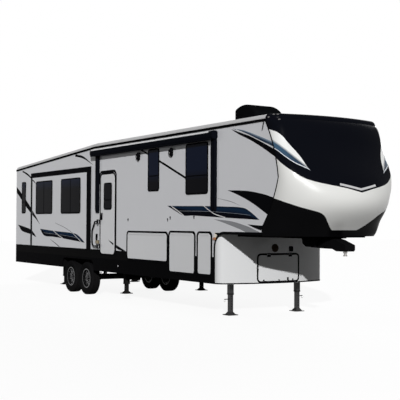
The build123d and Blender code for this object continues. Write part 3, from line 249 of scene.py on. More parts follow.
def makeWeathering():
    # Colour clouding, dust that thickens towards the ground, and the roughness both leave
    group, given, out = newGroup("weathering", [
        ("Colour", "Color", (0.5, 0.5, 0.5, 1)), ("Clouding", "Float", 0.04), ("Dust", "Float", 0.15),
        ("Dust Top", "Float", 1.2), ("Roughness", "Float", 0.4)], [("Colour", "Color"), ("Roughness", "Float")])
    place, _, _, z = coordinates(group)
    cloud = noiseNode(place, dustSettings["cloudScale"], 4)
    shade = scaled(minus(cloud, 0.5), times(given["Clouding"], 2.0), 1.0)
    vector = addNode(group, "VectorMath")
    vector.operation = "SCALE"
    plug(given["Colour"], vector.inputs[0])
    feed(vector, Scale=shade)
    low = minus(1.0, mathNode("DIVIDE", z, given["Dust Top"]), clamp=True)
    speckle = noiseNode(place, dustSettings["speckleScale"], 6, 0.65)
    patch = scaled(speckle, 1.6, -0.3, clamp=True)
    dust = times(times(low, patch), given["Dust"])
    rough = scaled(minus(speckle, 0.5), dustSettings["roughSpread"], given["Roughness"])
    feed(out, Colour=mixColour(dust, vector.outputs[0], dustSettings["colour"]),
         Roughness=scaled(dust, dustSettings["roughness"], rough, clamp=True))
    return group


def makeGrain():
    # Height of a fine surface: soft noise with a share of small cells
    group, given, out = newGroup("surfaceGrain", [("Scale", "Float", 300.0), ("Cells", "Float", 0.0)],
                                 [("Height", "Float")])
    place = coordinates(group)[0]
    noise, cell = (addNode(group, kind, Vector=place, Scale=given["Scale"]) for kind in ("TexNoise", "TexVoronoi"))
    mix = addNode(group, "Mix")
    for value, socket in ((given["Cells"], 0), (noise.outputs["Fac"], 2), (cell.outputs["Distance"], 3)):
        plug(value, mix.inputs[socket])
    feed(out, Height=mix.outputs[0])
    return group


weathering = makeWeathering()
surfaceGrain = makeGrain()


def useGroup(tree, group, **values):
    node = addNode(tree, "Group")
    node.node_tree = group
    return feed(node, **values).outputs


def finishOf(colour, roughness, clouding, dust, grain, depth, **others):
    # Grain is its scale and depth its height in metres. The others set dustTop, cells and sockets
    return dict(colour=colour, roughness=roughness, clouding=clouding, dust=dust, grain=grain, depth=depth, **others)


finishes = {
    "wallPaint": finishOf((0.735, 0.74, 0.765), 0.34, 0.02, 0.05, 260, 0.00025, coat=0.35),
    "doorPaint": finishOf((0.68, 0.685, 0.70), 0.36, 0.02, 0.07, 320, 0.0003, coat=0.25),
    "capPaint": finishOf((0.72, 0.72, 0.70), 0.22, 0.015, 0.0, 120, 0.0002, coat=0.6, coatRoughness=0.26),
    "nosePaint": finishOf((0.66, 0.665, 0.67), 0.30, 0.02, 0.05, 160, 0.0002, coat=0.12, specular=0.12),
    "roofSkin": finishOf((0.58, 0.58, 0.585), 0.75, 0.08, 0.0, 90, 0.0008),
    "blackTrim": finishOf((0.004, 0.004, 0.005), 0.42, 0.1, 0.01, 500, 0.0002),
    "skirtBlack": finishOf((0.003, 0.003, 0.0035), 0.38, 0.1, 0.006, 60, 0.0006),
    "blackTube": finishOf((0.006, 0.006, 0.0065), 0.35, 0.1, 0.01, 420, 0.0003),
    "frameBlack": finishOf((0.006, 0.006, 0.0065), 0.5, 0.25, 0.04, 150, 0.0006),
    "legBlack": finishOf((0.008, 0.008, 0.0085), 0.45, 0.25, 0.05, 150, 0.0006),
    "legGrey": finishOf((0.021, 0.021, 0.023), 0.42, 0.25, 0.06, 150, 0.0006, specular=0.25),
    "springBlack": finishOf((0.010, 0.009, 0.009), 0.6, 0.4, 0.06, 200, 0.0010),
    "pinBare": finishOf((0.30, 0.29, 0.28), 0.34, 0.15, 0.1, 380, 0.0003, metallic=1.0),
    "bellySheet": finishOf((0.008, 0.008, 0.008), 0.8, 0.2, 0.05, 30, 0.002, cells=0.3),
    "floorBoard": finishOf((0.42, 0.34, 0.25), 0.65, 0.12, 0.05, 70, 0.0008),
    "deckUnder": finishOf((0.004, 0.004, 0.0045), 0.7, 0.2, 0.02, 60, 0.0008),
    "tyreRubber": finishOf((0.007, 0.007, 0.0075), 0.72, 0.15, 0.02, 700, 0.0005, dustTop=0.8, cells=0.2),
    "alloyDark": finishOf((0.010, 0.010, 0.011), 0.30, 0.1, 0.02, 300, 0.0002, metallic=0.5),
    "alloyBright": finishOf((0.13, 0.13, 0.135), 0.20, 0.04, 0.04, 900, 0.0002, metallic=1.0),
    "nutMetal": finishOf((0.42, 0.42, 0.43), 0.25, 0.04, 0.1, 900, 0.0002, metallic=1.0),
    "brightMetal": finishOf((0.55, 0.55, 0.56), 0.30, 0.08, 0.1, 500, 0.0003, metallic=1.0),
    "shroudPlastic": finishOf((0.004, 0.0045, 0.005), 0.48, 0.12, 0.0, 900, 0.0003, cells=0.5, specular=0.0),
    "ventPlastic": finishOf((0.66, 0.66, 0.64), 0.5, 0.05, 0.0, 800, 0.0004, cells=0.4),
    "awningBlack": finishOf((0.004, 0.0045, 0.007), 0.40, 0.1, 0.0, 420, 0.0003),
    "pipeBlack": finishOf((0.006, 0.006, 0.006), 0.5, 0.15, 0.04, 300, 0.0005),
    "sealRubber": finishOf((0.003, 0.003, 0.0035), 0.6, 0.1, 0.01, 600, 0.0003),
    "coverBrown": finishOf((0.045, 0.028, 0.016), 0.5, 0.3, 0.02, 300, 0.0004),
    "vinylBlack": finishOf((0.004, 0.004, 0.005), 0.30, 0.06, 0.01, 600, 0.0001),
    "vinylGrey": finishOf((0.20, 0.205, 0.22), 0.32, 0.06, 0.05, 600, 0.0001),
    "vinylWhite": finishOf((0.80, 0.80, 0.80), 0.30, 0.03, 0.05, 600, 0.0001),
}
# Dark paint carries nearly no gloss, since the photo's blacks are flat
darkSpecular, paleSpecular, darkLimit = 0.001, 0.4, 0.05


def startMaterial(name, finish):
    material = bpy.data.materials.new(name)
    tree = emptyTree(material)
    usual = darkSpecular if max(finish["colour"]) < darkLimit else paleSpecular
    shader = addNode(tree, "BsdfPrincipled", Metallic=finish.get("metallic", 0.0), Coat_Weight=finish.get("coat", 0.0),
                     Coat_Roughness=finish.get("coatRoughness", 0.08), Specular_IOR_Level=finish.get("specular", usual))
    addNode(tree, "OutputMaterial", Surface=shader.outputs[0])
    return material, tree, shader


def finishSurface(tree, shader, finish, colour=None):
    # Joins weathering and grain to the shader round a colour that may change over the surface
    worn = useGroup(tree, weathering, Colour=finish["colour"] if colour is None else colour,
                    Clouding=finish["clouding"], Dust=finish["dust"], Dust_Top=finish.get("dustTop", 1.25),
                    Roughness=finish["roughness"])
    grain = useGroup(tree, surfaceGrain, Scale=float(finish["grain"]), Cells=finish.get("cells", 0.0))
    bump = addNode(tree, "Bump", Strength=1.0, Distance=finish["depth"], Height=grain["Height"])
    feed(shader, Base_Color=worn["Colour"], Roughness=worn["Roughness"], Normal=bump.outputs[0])


def plainMaterial(name, finish):
    material, tree, shader = startMaterial(name, finish)
    finishSurface(tree, shader, finish)
    return material


insidePanel = (0.62, 0.58, 0.50)
darkPaint = (0.004, 0.004, 0.0045)


def wallMaterial(name, skinY, axis, blackTop):
    # Paint outside the skin plane, board inside it, and black below blackTop
    finish = finishes["wallPaint"]
    material, tree, shader = startMaterial(name + "Wall", finish)
    _, x, y, z = coordinates(tree)
    across = mathNode("ABSOLUTE", y) if axis == "y" else times(x, -1.0)
    outside = above(across, skinY - 0.003, 0.001)
    pale = 1.0 if blackTop is None else above(z, blackTop)
    painted = finish["colour"] if blackTop is None else mixColour(pale, darkPaint, finish["colour"])
    finishSurface(tree, shader, finish, mixColour(outside, insidePanel, painted))
    # The gloss is a coat on the pale paint alone
    feed(shader, Specular_IOR_Level=darkSpecular, Coat_Weight=times(times(outside, pale), finish["coat"]))
    return material


# Cap paint. Each edge is a table of (angle, height): degrees round an upright axis at pivotX,
# the same on both sides, and metres. The curves hold angles up to turnEnd and heights in range
capPaint = {
    "pivotX": 4.69, "turnEnd": 60, "range": (1.4, 3.8), "darkCoat": 0.03,
    "screenLow": ((0, 2.250), (4.5, 2.285), (9, 2.320), (13, 2.343), (17, 2.366), (24, 2.412),
                  (31, 2.482), (36, 2.574), (41.5, 2.694), (47, 2.835), (60, 3.10)),
    "flashTop": ((0, 2.52), (24, 2.52), (27.5, 2.612), (33, 2.862), (39, 3.062), (44.5, 3.235),
                 (51, 3.318), (60, 3.40)),
    "flashLow": ((0, 2.54), (24, 2.54), (27.5, 2.612), (36.5, 2.745), (41.5, 2.852), (46, 2.955), (60, 3.15)),
    "blueTop": ((0, 2.54), (24, 2.54), (27.5, 2.625), (33, 2.765), (38, 2.888), (42, 2.985),
                (47, 3.090), (60, 3.30)),
    "whiteLow": ((0, 1.618), (10.2, 1.618), (11.5, 1.634), (15.9, 1.745), (19.4, 1.858), (21.7, 1.903), (27, 1.952),
                 (33, 2.003), (39, 2.063), (48, 2.151), (60, 2.22)),
}


def capMaterial():
    finish = finishes["capPaint"]
    material, tree, shader = startMaterial("capPaint", finish)
    _, x, y, z = coordinates(tree)
    turn = mathNode("ARCTAN2", mathNode("ABSOLUTE", y), minus(x, capPaint["pivotX"]))
    share = mathNode("DIVIDE", turn, math.radians(capPaint["turnEnd"]))
    low, high = capPaint["range"]

    def over(name, shift=0.0, soft=0.004):
        # 1 above an edge, raised by the shift
        node = addNode(tree, "FloatCurve", Value=share)
        curve = node.mapping.curves[0]
        table = capPaint[name]
        while len(curve.points) < len(table):
            curve.points.new(0.5, 0.5)
        for point, (angle, height) in zip(curve.points, sorted(table)):
            point.location = (angle / capPaint["turnEnd"], (height - low) / (high - low))
            # The screen's tip in the middle stays sharp
            point.handle_type = "VECTOR" if name == "screenLow" and angle < 10 else "AUTO_CLAMPED"
        node.mapping.update()
        return above(minus(z, scaled(node.outputs[0], high - low, low)), shift, soft)

    screen, white = over("screenLow"), over("whiteLow")
    flash = times(minus(1.0, over("flashTop")), over("flashLow"))
    fade = scaled(turn, 3.2, -1.75, clamp=True)
    blue = mixColour(fade, (0.003, 0.014, 0.036), (0.030, 0.092, 0.165))
    flashColour = mixColour(over("blueTop", 0.004, 0.050), blue, (0.80, 0.81, 0.80))
    flashColour = mixColour(over("flashLow", 0.014), (0.72, 0.76, 0.80), flashColour)
    colour = mixColour(screen, finish["colour"], (0.003, 0.0035, 0.006))
    colour = mixColour(flash, colour, flashColour)
    colour = mixColour(white, (0.003, 0.003, 0.0035), colour)
    finishSurface(tree, shader, finish, colour)
    pale = mathNode("MAXIMUM", times(minus(1.0, screen), white), flash)
    coat = scaled(pale, finish["coat"] - capPaint["darkCoat"], capPaint["darkCoat"])
    feed(shader, Specular_IOR_Level=darkSpecular, Coat_Weight=coat)
    return material


def glassMaterial():
    # Dark glass, with navy painted above the middle of the body as a painted sky reflection
    finish = finishOf((0.002, 0.0025, 0.006), 0.05, 0.1, 0.0, 8, 0.0004, specular=0.012)
    material, tree, shader = startMaterial("tintedGlassPaintedSky", finish)
    # Painted sky reflection: the panes turn navy around 2.66 m, over a soft step 0.2 m tall
    high = above(coordinates(tree)[3], 2.66, 0.20)
    finishSurface(tree, shader, finish, mixColour(high, (0.002, 0.002, 0.004), (0.004, 0.008, 0.024)))
    return material


def sheetShares(tree):
    # The sheet's own shares: along it from its rear end, and across it from its lower edge
    uv = addNode(tree, "UVMap")
    uv.uv_map = "sheet"
    split = addNode(tree, "SeparateXYZ", Vector=uv.outputs[0]).outputs
    return split[0], split[1]


def stripeMaterial():
    # Runs from navy at a stripe's upper edge to black at its lower edge
    finish = finishes["vinylBlack"]
    material, tree, shader = startMaterial("vinylNavy", finish)
    ramp = addNode(tree, "ValToRGB", Fac=sheetShares(tree)[1])
    points = ramp.color_ramp.elements
    table = ((0.0, (0.004, 0.004, 0.006)), (0.47, (0.005, 0.006, 0.010)), (0.50, (0.007, 0.014, 0.032)),
             (0.80, (0.010, 0.027, 0.058)), (1.0, (0.009, 0.015, 0.030)))
    while len(points) < len(table):
        points.new(0.5)
    for point, (at, colour) in zip(points, table):
        point.position = at
        point.color = (*colour, 1)
    finishSurface(tree, shader, finish, ramp.outputs[0])
    return material


def fadeMaterial(name, start, end, upper=None):
    # Runs from one colour to another along the sheet, and to a third towards its upper edge
    finish = dict(finishes["vinylGrey"], colour=end)
    material, tree, shader = startMaterial(name, finish)
    along, across = sheetShares(tree)
    colour = mixColour(along, start, end)
    if upper:
        feed(shader, Specular_IOR_Level=0.05)
        colour = mixColour(scaled(across, 1.7, -0.80, clamp=True), colour, upper)
    finishSurface(tree, shader, finish, colour)
    return material


materials = {name: plainMaterial(name, finish) for name, finish in finishes.items()
             if name not in ("capPaint", "wallPaint")}
materials["wallPaint"] = wallMaterial("wallPaint", body["wallY"], "y", body["blackTop"])
materials["rearPaint"] = wallMaterial("rearPaint", -body["rearX"], "x", body["blackTop"])
materials["slidePaint"] = wallMaterial("slidePaint", body["slideY"], "y", None)
materials["capPaint"] = capMaterial()
materials["tintedGlassPaintedSky"] = glassMaterial()
lensColours = {"redLens": (0.35, 0.008, 0.008), "amberLens": (0.36, 0.115, 0.012), "strawLens": (0.20, 0.145, 0.055),
               "clearLens": (0.60, 0.60, 0.58), "smokedLens": (0.11, 0.105, 0.10)}
for name, colour in lensColours.items():
    # Moulded lens with fine flutes
    materials[name] = plainMaterial(name, finishOf(colour, 0.12, 0.08, 0.05, 420, 0.0008, cells=0.8, coat=0.5))
materials["vinylNavy"] = stripeMaterial()
materials["vinylSteel"] = fadeMaterial("vinylSteel", (0.30, 0.32, 0.35), (0.20, 0.24, 0.30))
materials["vinylBlue"] = fadeMaterial("vinylBlue", (0.040, 0.055, 0.090), (0.006, 0.028, 0.062), (0.33, 0.43, 0.54))

# The nodes that come with the frame, under the finish that each wears
finishNodes = {
    "frameBlack": "frame_rails upper_frame pin_box axles rear_bumper", "pinBare": "king_pin",
    "bellySheet": "underbelly", "floorBoard": "main_floor bay_floor", "deckUnder": "upper_deck wheel_wells",
    "wallPaint": "curb_wall road_wall", "rearPaint": "rear_wall", "roofSkin": "roof", "capPaint": "front_cap",
    "skirtBlack": "skirts", "nosePaint": "lower_nose nose_hatch", "slidePaint": "curb_slide_room road_slide_room",
    "doorPaint": "entry_door baggage_door_rear baggage_door_middle baggage_door_front road_baggage_door",
    "blackTrim": "drip_rails curb_slide_trim road_slide_trim entry_door_frame baggage_frames grab_brackets wall_lamps",
    "tintedGlassPaintedSky": "curb_slide_glass road_slide_glass entry_door_glass fixed_glass",
    "blackTube": "grab_handle ladder", "awningBlack": "awning_housing awning_arms",
    "shroudPlastic": "air_conditioner", "ventPlastic": "roof_vents", "springBlack": "leaf_springs",
    "legGrey": "landing_legs", "legBlack": "stabilizer_jacks", "redLens": "tail_lamps", "amberLens": "marker_lamps",
    "pipeBlack": "waste_pipe", "tyreRubber": "tyre_curb_rear tyre_curb_front tyre_road_rear tyre_road_front",
    "alloyDark": "rim_curb_rear rim_curb_front rim_road_rear rim_road_front",
}
for finish, names in finishNodes.items():
    for name in names.split():
        for slot in nodes[name].material_slots:
            slot.material = materials[finish]
print("stage: finishes on", len(nodes), "nodes")


# Mesh helpers. A shell is (points, faces) with faces as index rows of four; a row that
# repeats its last point is a triangle


def gridShell(points, closeAlong=False, closeAcross=False):
    # Quads over an array of rows by columns of points
    rows, columns = points.shape[:2]
    index = np.arange(rows * columns).reshape(rows, columns)
    if closeAlong:
        index = np.vstack([index, index[:1]])
    if closeAcross:
        index = np.hstack([index, index[:, :1]])
    faces = np.stack([index[:-1, :-1], index[1:, :-1], index[1:, 1:], index[:-1, 1:]], axis=-1)
    return points.reshape(-1, 3), faces.reshape(-1, 4)


def joinShells(shells):
    offsets = np.cumsum([0] + [len(points) for points, _ in shells[:-1]])
    return (np.vstack([points for points, _ in shells]),
            np.vstack([faces + offset for (_, faces), offset in zip(shells, offsets)]))


def repeatShell(shell, offsets):
    # The same shell at each offset, as whole arrays
    points, faces = shell
    offsets = np.asarray(offsets, float)
    moved = points[None] + offsets[:, None]
    shifted = faces[None] + (np.arange(len(offsets)) * len(points))[:, None, None]
    return moved.reshape(-1, 3), shifted.reshape(-1, 4)


def placeShell(shell, frameAxes, origin):
    # Turns a shell so that its x, y and z run along three given directions
    return shell[0] @ np.asarray(frameAxes, float) + np.asarray(origin, float), shell[1]


def makePiece(name, shells, finish, rides="chassis", slotName="black_trim", smooth=35, uv=None, merge=True):
    # A named piece of one finish that rides on a body. Merging closes seams and turns the faces outwards
    points, faces = joinShells(shells)
    mesh = bpy.data.meshes.new(name)
    pointed = faces[:, 2] == faces[:, 3]
    mesh.from_pydata(points.tolist(), [], faces[~pointed].tolist() + faces[pointed][:, :3].tolist())
    if uv is not None:
        layer = mesh.uv_layers.new(name="sheet")
        loops = np.zeros(len(mesh.loops), np.int32)
        mesh.loops.foreach_get("vertex_index", loops)
        layer.data.foreach_set("uv", np.asarray(uv, np.float32)[loops].ravel())
    if merge:
        work = bmesh.new()
        work.from_mesh(mesh)
        bmesh.ops.remove_doubles(work, verts=work.verts, dist=1e-5)
        bmesh.ops.dissolve_degenerate(work, edges=work.edges, dist=1e-6)
        bmesh.ops.recalc_face_normals(work, faces=work.faces)
        work.to_mesh(mesh)
        work.free()
    mesh.shade_smooth()
    mesh.set_sharp_from_angle(angle=math.radians(smooth))
    mesh.materials.append(materials[finish])
    piece = addToScene(name, mesh)
    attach(piece, rides)
    return piece


def smoothLine(points, count):
    # Catmull-Rom curve through the points, evenly many samples per span
    points = np.asarray(points, float)
    padded = np.vstack([2 * points[0] - points[1], points, 2 * points[-1] - points[-2]])
    at = np.linspace(0, len(points) - 1, count)
    span = np.minimum(at.astype(int), len(points) - 2)
    t = (at - span)[:, None]
    p0, p1, p2, p3 = (padded[span + k] for k in range(4))
    return 0.5 * (2 * p1 + (p2 - p0) * t + (2 * p0 - 5 * p1 + 4 * p2 - p3) * t ** 2
                  + (3 * p1 - p0 - 3 * p2 + p3) * t ** 3)


def directions(path):
    # Unit directions along a path
    along = np.gradient(path, axis=0)
    return along / np.linalg.norm(along, axis=1)[:, None]


def sweepShell(profile, path, frames, closed=False):
    # Carries a closed profile of (sideways, outwards) pairs along a path. Each of the two
    # frames is one direction, or a direction for every point of the path
    sideways, outwards = (np.broadcast_to(np.asarray(frame, float), path.shape) for frame in frames)
    profile = np.asarray(profile, float)
    points = (path[:, None] + profile[None, :, :1] * sideways[:, None]
              + profile[None, :, 1:] * outwards[:, None])
    shell = gridShell(points, closeAlong=closed, closeAcross=True)
    if closed:
        return shell
    # Both ends are closed by triangles about their middle points
    count, total = len(profile), len(shell[0])
    points = np.vstack([shell[0], points[0].mean(0), points[-1].mean(0)])
    ring = np.arange(count)
    onward = np.roll(ring, -1)
    start = np.stack([ring, onward, np.full(count, total), np.full(count, total)], axis=1)
    last = total - count
    end = np.stack([onward + last, ring + last, np.full(count, total + 1), np.full(count, total + 1)], axis=1)
    return points, np.vstack([shell[1], start, end])


def lineThrough(kind, *points, count=24):
    # A straight run, or the circle's arc through three points in a plane
    points = np.asarray(points, float)
    if kind == "line":
        return points[0] + (points[-1] - points[0]) * np.linspace(0, 1, count)[:, None]
    (ax, az), (bx, bz), (cx, cz) = points
    double = 2 * (ax * (bz - cz) + bx * (cz - az) + cx * (az - bz))
    a, b, c = ax * ax + az * az, bx * bx + bz * bz, cx * cx + cz * cz
    centre = np.array([a * (bz - cz) + b * (cz - az) + c * (az - bz),
                       a * (cx - bx) + b * (ax - cx) + c * (bx - ax)]) / double
    turns = np.unwrap(np.arctan2(points[:, 1] - centre[1], points[:, 0] - centre[0]))
    radius = np.hypot(*(points[0] - centre))
    sweep = np.linspace(turns[0], turns[2], count)
    return centre + radius * np.stack([np.cos(sweep), np.sin(sweep)], axis=1)


def joinRuns(*runs):
    # Chains runs of points, dropping each repeated corner
    line = [runs[0]]
    for run in runs[1:]:
        line.append(run[1:] if np.allclose(run[0], line[-1][-1], atol=1e-6) else run)
    return np.vstack(line)


def roundedLoop(xFrom, xTo, zFrom, zTo, radius, count=9, between=0):
    # Rounded rectangle as a closed loop: four quarter turns about the corner centres, with
    # points between them where the loop has to follow a bowed surface
    turns = np.linspace(0, math.pi / 2, count)
    corners = ((xTo - radius, zTo - radius, 0), (xFrom + radius, zTo - radius, 1),
               (xFrom + radius, zFrom + radius, 2), (xTo - radius, zFrom + radius, 3))
    points, outward = [], []
    for x, z, quarter in corners:
        angle = turns + quarter * math.pi / 2
        ray = np.stack([np.cos(angle), np.sin(angle)], axis=1)
        points.append(np.array([x, z]) + radius * ray)
        outward.append(ray)
    share = np.linspace(0, 1, between + 2)[1:-1, None]
    runs = [points[k][-1] + share * (points[(k + 1) % 4][0] - points[k][-1]) for k in range(4)]
    held = [np.repeat(outward[k][-1:], between, axis=0) for k in range(4)]
    return (np.vstack([part for pair in zip(points, runs) for part in pair]),
            np.vstack([part for pair in zip(outward, held) for part in pair]))


def onSide(line, side, y):
    # Points of a side view (x, z) put on the plane y of that side
    return np.stack([line[:, 0], np.full(len(line), side * y), line[:, 1]], axis=1)


def sideRing(xFrom, xTo, zFrom, zTo, radius, profile, side, y):
    # Frame profile carried round a rounded rectangle that lies on a side wall
    loop, outward = roundedLoop(xFrom, xTo, zFrom, zTo, radius)
    return sweepShell(profile, onSide(loop, side, y), (onSide(outward, side, 0.0), (0, side, 0)), closed=True)


def sideStrip(line, profile, side, y=body["wallY"]):
    # Trim profile carried along a line of a side wall
    line = np.asarray(line, float)
    along = directions(line)
    across = np.stack([-along[:, 1], along[:, 0]], axis=1)
    return sweepShell(profile, onSide(line, side, y), (onSide(across, side, 0.0), (0, side, 0)))


def spunShell(radius, out, closed=False):
    # Rows of radii and heights, a column to each step, turned about the z axis
    turn = np.linspace(0, 2 * math.pi, radius.shape[1], endpoint=False)
    points = np.stack([radius * np.cos(turn), radius * np.sin(turn), np.broadcast_to(out, radius.shape)], axis=-1)
    return gridShell(points, closeAlong=closed, closeAcross=True)


def latheShell(profile, count=24, closed=False):
    # Turns (radius, along) pairs about the z axis. Ends on the axis close by merging
    profile = np.asarray(profile, float)
    return spunShell(np.repeat(profile[:, :1], count, axis=1), profile[:, 1:], closed)


def cushionBlock(size, power=0.35, rows=14, columns=28):
    # Block with soft edges: each axis is the half size times a sine or cosine of two
    # angles, raised to a small power so that the faces come out nearly flat
    tilt = np.linspace(-math.pi / 2, math.pi / 2, rows)[:, None]
    turn = np.linspace(0, 2 * math.pi, columns, endpoint=False)[None]

    def soft(value):
        return np.sign(value) * np.abs(value) ** power

    x = soft(np.cos(tilt)) * soft(np.cos(turn)) * size[0] / 2
    y = soft(np.cos(tilt)) * soft(np.sin(turn)) * size[1] / 2
    z = soft(np.sin(tilt)) * np.ones_like(turn) * size[2] / 2
    return gridShell(np.stack([x, y, z], axis=-1), closeAcross=True)


# Stripes on the side walls, each a sheet ruled between an upper and a lower edge. The planes
# lie just off the skins, and the lifts keep sheets that cross apart
stripePlanes = {"wall": 1.2207, "slide": 1.2490, "door": 1.2246}
sheetLift = {"crownBlue": 0.0004, "pinLine": 0.0006}
stripes = (
    # Name, surface, finish, upper edge, lower edge, as (x, z) from the rear end forward
    ("beltStripe", "wall", "vinylNavy",
     ((2.186, 2.074), (2.70, 2.062), (3.62, 2.049), (4.30, 2.030), (4.86, 2.004), (5.10, 1.935), (5.39, 1.786)),
     ((2.186, 2.074), (2.50, 1.972), (2.844, 1.872), (3.25, 1.868), (4.27, 1.828), (4.90, 1.805), (5.39, 1.786))),
    ("crownBlade", "wall", "vinylBlack",
     ((4.505, 3.424), (4.818, 3.332), (5.096, 3.250), (5.456, 3.118), (5.794, 2.982)),
     ((4.505, 3.422), (4.755, 3.310), (5.097, 3.185), (5.456, 3.030), (5.846, 2.838))),
    ("crownBlue", "wall", "vinylBlue",
     ((4.560, 3.428), (4.911, 3.368), (5.337, 3.240), (5.744, 3.108)),
     ((4.560, 3.425), (4.960, 3.316), (5.397, 3.157), (5.781, 3.020))),
    ("lowerSwoosh", "wall", "vinylBlack",
     ((4.391, 2.324), (4.97, 2.299), (5.452, 2.236), (5.806, 2.160)),
     ((4.391, 2.324), (4.743, 2.228), (5.105, 2.105), (5.411, 1.974), (5.634, 1.868))),
    ("greyBlade", "wall", "vinylGrey",
     ((3.93, 1.80), (4.514, 1.762), (5.019, 1.675), (5.40, 1.572)),
     ((3.93, 1.80), (4.275, 1.733), (4.748, 1.631), (4.975, 1.572))),
    ("greyLine", "wall", "vinylGrey",
     ((4.076, 2.186), (4.511, 2.121), (4.836, 2.032)), ((4.076, 2.180), (4.511, 2.109), (4.836, 2.032))),
    ("footBlade", "wall", "vinylBlack",
     ((5.019, 1.71), (5.25, 1.697), (5.484, 1.688)), ((5.019, 1.71), (5.24, 1.648), (5.445, 1.603))),
    ("highLine", "wall", "vinylBlack",
     ((1.110, 3.282), (2.006, 2.966), (2.93, 2.626)), ((1.030, 3.272), (2.006, 2.918), (2.93, 2.578))),
    ("stepLine", "wall", "vinylBlack",
     ((-0.160, 1.243), (0.10, 1.172), (0.36, 1.101)), ((-0.160, 1.178), (0.00, 1.128), (0.18, 1.101))),
    ("stepLineDoor", "door", "vinylBlack",
     ((-0.52, 1.334), (-0.35, 1.292), (-0.222, 1.256)), ((-0.52, 1.334), (-0.35, 1.256), (-0.222, 1.205))),
    ("rearHighLine", "wall", "vinylBlack",
     ((-2.376, 3.406), (-1.906, 3.320), (-1.349, 3.083)), ((-2.420, 3.352), (-1.905, 3.268), (-1.349, 3.083))),
    ("rearHook", "wall", "vinylBlack",
     ((-6.02, 3.176), (-5.62, 3.068), (-5.235, 2.906)), ((-6.06, 3.140), (-5.62, 3.014), (-5.235, 2.858))),
    ("rearHookSlide", "slide", "vinylBlack",
     ((-5.190, 2.900), (-5.03, 2.825), (-4.90, 2.757)), ((-5.190, 2.858), (-5.03, 2.796), (-4.90, 2.757))),
    ("rearBand", "wall", "vinylBlack",
     ((-6.50, 2.735), (-6.10, 2.535), (-5.65, 2.286), (-5.235, 2.052)),
     ((-6.50, 2.580), (-6.10, 2.357), (-5.65, 2.110), (-5.235, 1.918))),
    ("rearBandSlide", "slide", "vinylBlack",
     ((-5.190, 2.050), (-4.90, 1.868), (-4.619, 1.664)), ((-5.190, 1.922), (-4.90, 1.803), (-4.619, 1.664))),
    ("rearBlade", "wall", "vinylBlack",
     ((-6.351, 1.657), (-5.869, 1.601), (-5.45, 1.545), (-5.235, 1.500)),
     ((-6.351, 1.657), (-6.05, 1.485), (-5.60, 1.425), (-5.235, 1.384))),
    ("rearBladeSlide", "slide", "vinylBlack",
     ((-5.190, 1.497), (-5.02, 1.415), (-4.872, 1.320)), ((-5.190, 1.388), (-5.02, 1.352), (-4.872, 1.320))),
    ("slideStripe", "slide", "vinylNavy",
     ((-4.616, 1.551), (-4.00, 1.522), (-3.53, 1.500), (-2.453, 1.464), (-2.10, 1.402), (-1.731, 1.241)),
     ((-4.616, 1.551), (-4.311, 1.377), (-3.70, 1.352), (-3.21, 1.332), (-2.449, 1.285), (-1.731, 1.241))),
    ("slideLine", "slide", "vinylBlack",
     ((-3.575, 1.712), (-2.983, 1.607), (-2.453, 1.470)), ((-3.575, 1.706), (-2.983, 1.597), (-2.453, 1.462))),
    ("slideHook", "slide", "vinylBlack",
     ((-3.89, 1.283), (-3.563, 1.202), (-3.26, 1.104)), ((-3.89, 1.279), (-3.563, 1.184), (-3.33, 1.104))),
)
pinLines = (
    # Thin pale lines over the stripes: name, surface, points, width
    ("beltSlash", "wall", ((2.364, 2.060), (2.60, 1.972), (2.849, 1.872)), 0.020),
    ("beltSlashFront", "wall", ((3.58, 2.052), (3.78, 1.965), (3.98, 1.893), (4.323, 1.829)), 0.016),
    ("beltMiddle", "wall", ((2.62, 1.966), (3.78, 1.944), (4.60, 1.905), (5.12, 1.868)), 0.005),
    ("crownLine", "wall", ((4.66, 3.404), (4.943, 3.314), (5.397, 3.150), (5.784, 3.011)), 0.012),
    ("slideSlash", "slide", ((-3.70, 1.512), (-3.36, 1.400), (-3.08, 1.330)), 0.016),
    ("slideSlashFront", "slide", ((-2.453, 1.464), (-2.20, 1.360), (-1.942, 1.257)), 0.016),
    ("slideMiddle", "slide", ((-4.36, 1.450), (-3.30, 1.412), (-2.45, 1.370), (-2.02, 1.318)), 0.005),
)


def sheetPiece(name, upper, lower, side, y, finish, rides, count=49, rows=3):
    # Point = lower edge + v * (upper edge - lower edge), with u along and v across
    top, bottom = smoothLine(upper, count), smoothLine(lower, count)
    across = np.linspace(0, 1, rows)[None, :, None]
    flat = bottom[:, None] + across * (top - bottom)[:, None]
    points = onSide(flat.reshape(-1, 2), side, y).reshape(count, rows, 3)
    shell = gridShell(points)
    if side > 0:
        shell = (shell[0], shell[1][:, ::-1])
    u = np.linspace(0, 1, count)[:, None] * np.ones(rows)
    uv = np.stack([u, np.broadcast_to(across[..., 0], u.shape)], axis=-1).reshape(-1, 2)
    return makePiece(name, [shell], finish, rides, "grey_wall", uv=uv, merge=False)


for sideName, side in sides:
    carriers = {"wall": "chassis", "slide": sideName + "_slide", "door": "entry_door"}
    for name, surface, finish, upper, lower in stripes:
        # The entry door is on the curb side alone
        if surface == "door" and side > 0:
            continue
        y = stripePlanes[surface] + sheetLift.get(name, 0.0)
        sheetPiece(f"{sideName}_{name}", upper, lower, side, y, finish, carriers[surface])
    for name, surface, points, width in pinLines:
        line = np.asarray(points)
        finish = "vinylSteel" if name.endswith("Middle") else "vinylWhite"
        sheetPiece(f"{sideName}_{name}", line + (0, width / 2), line - (0, width / 2), side,
                   stripePlanes[surface] + sheetLift["pinLine"], finish, carriers[surface])
print("stage: stripes")


# Frames and rails of the windows
windowFrame = {
    # (outwards from the pane's edge, away from the wall), round the frame's section
    "section": ((-0.026, 0.0082), (-0.023, 0.0118), (-0.006, 0.0128), (0.003, 0.0105), (0.005, 0.0002),
                (-0.026, 0.0002)),
    "rail": ((-0.011, 0.0078), (-0.009, 0.0112), (0.009, 0.0112), (0.011, 0.0078)),
    "railHeight": 0.36, "railInset": 0.02, "corner": 0.060,
}
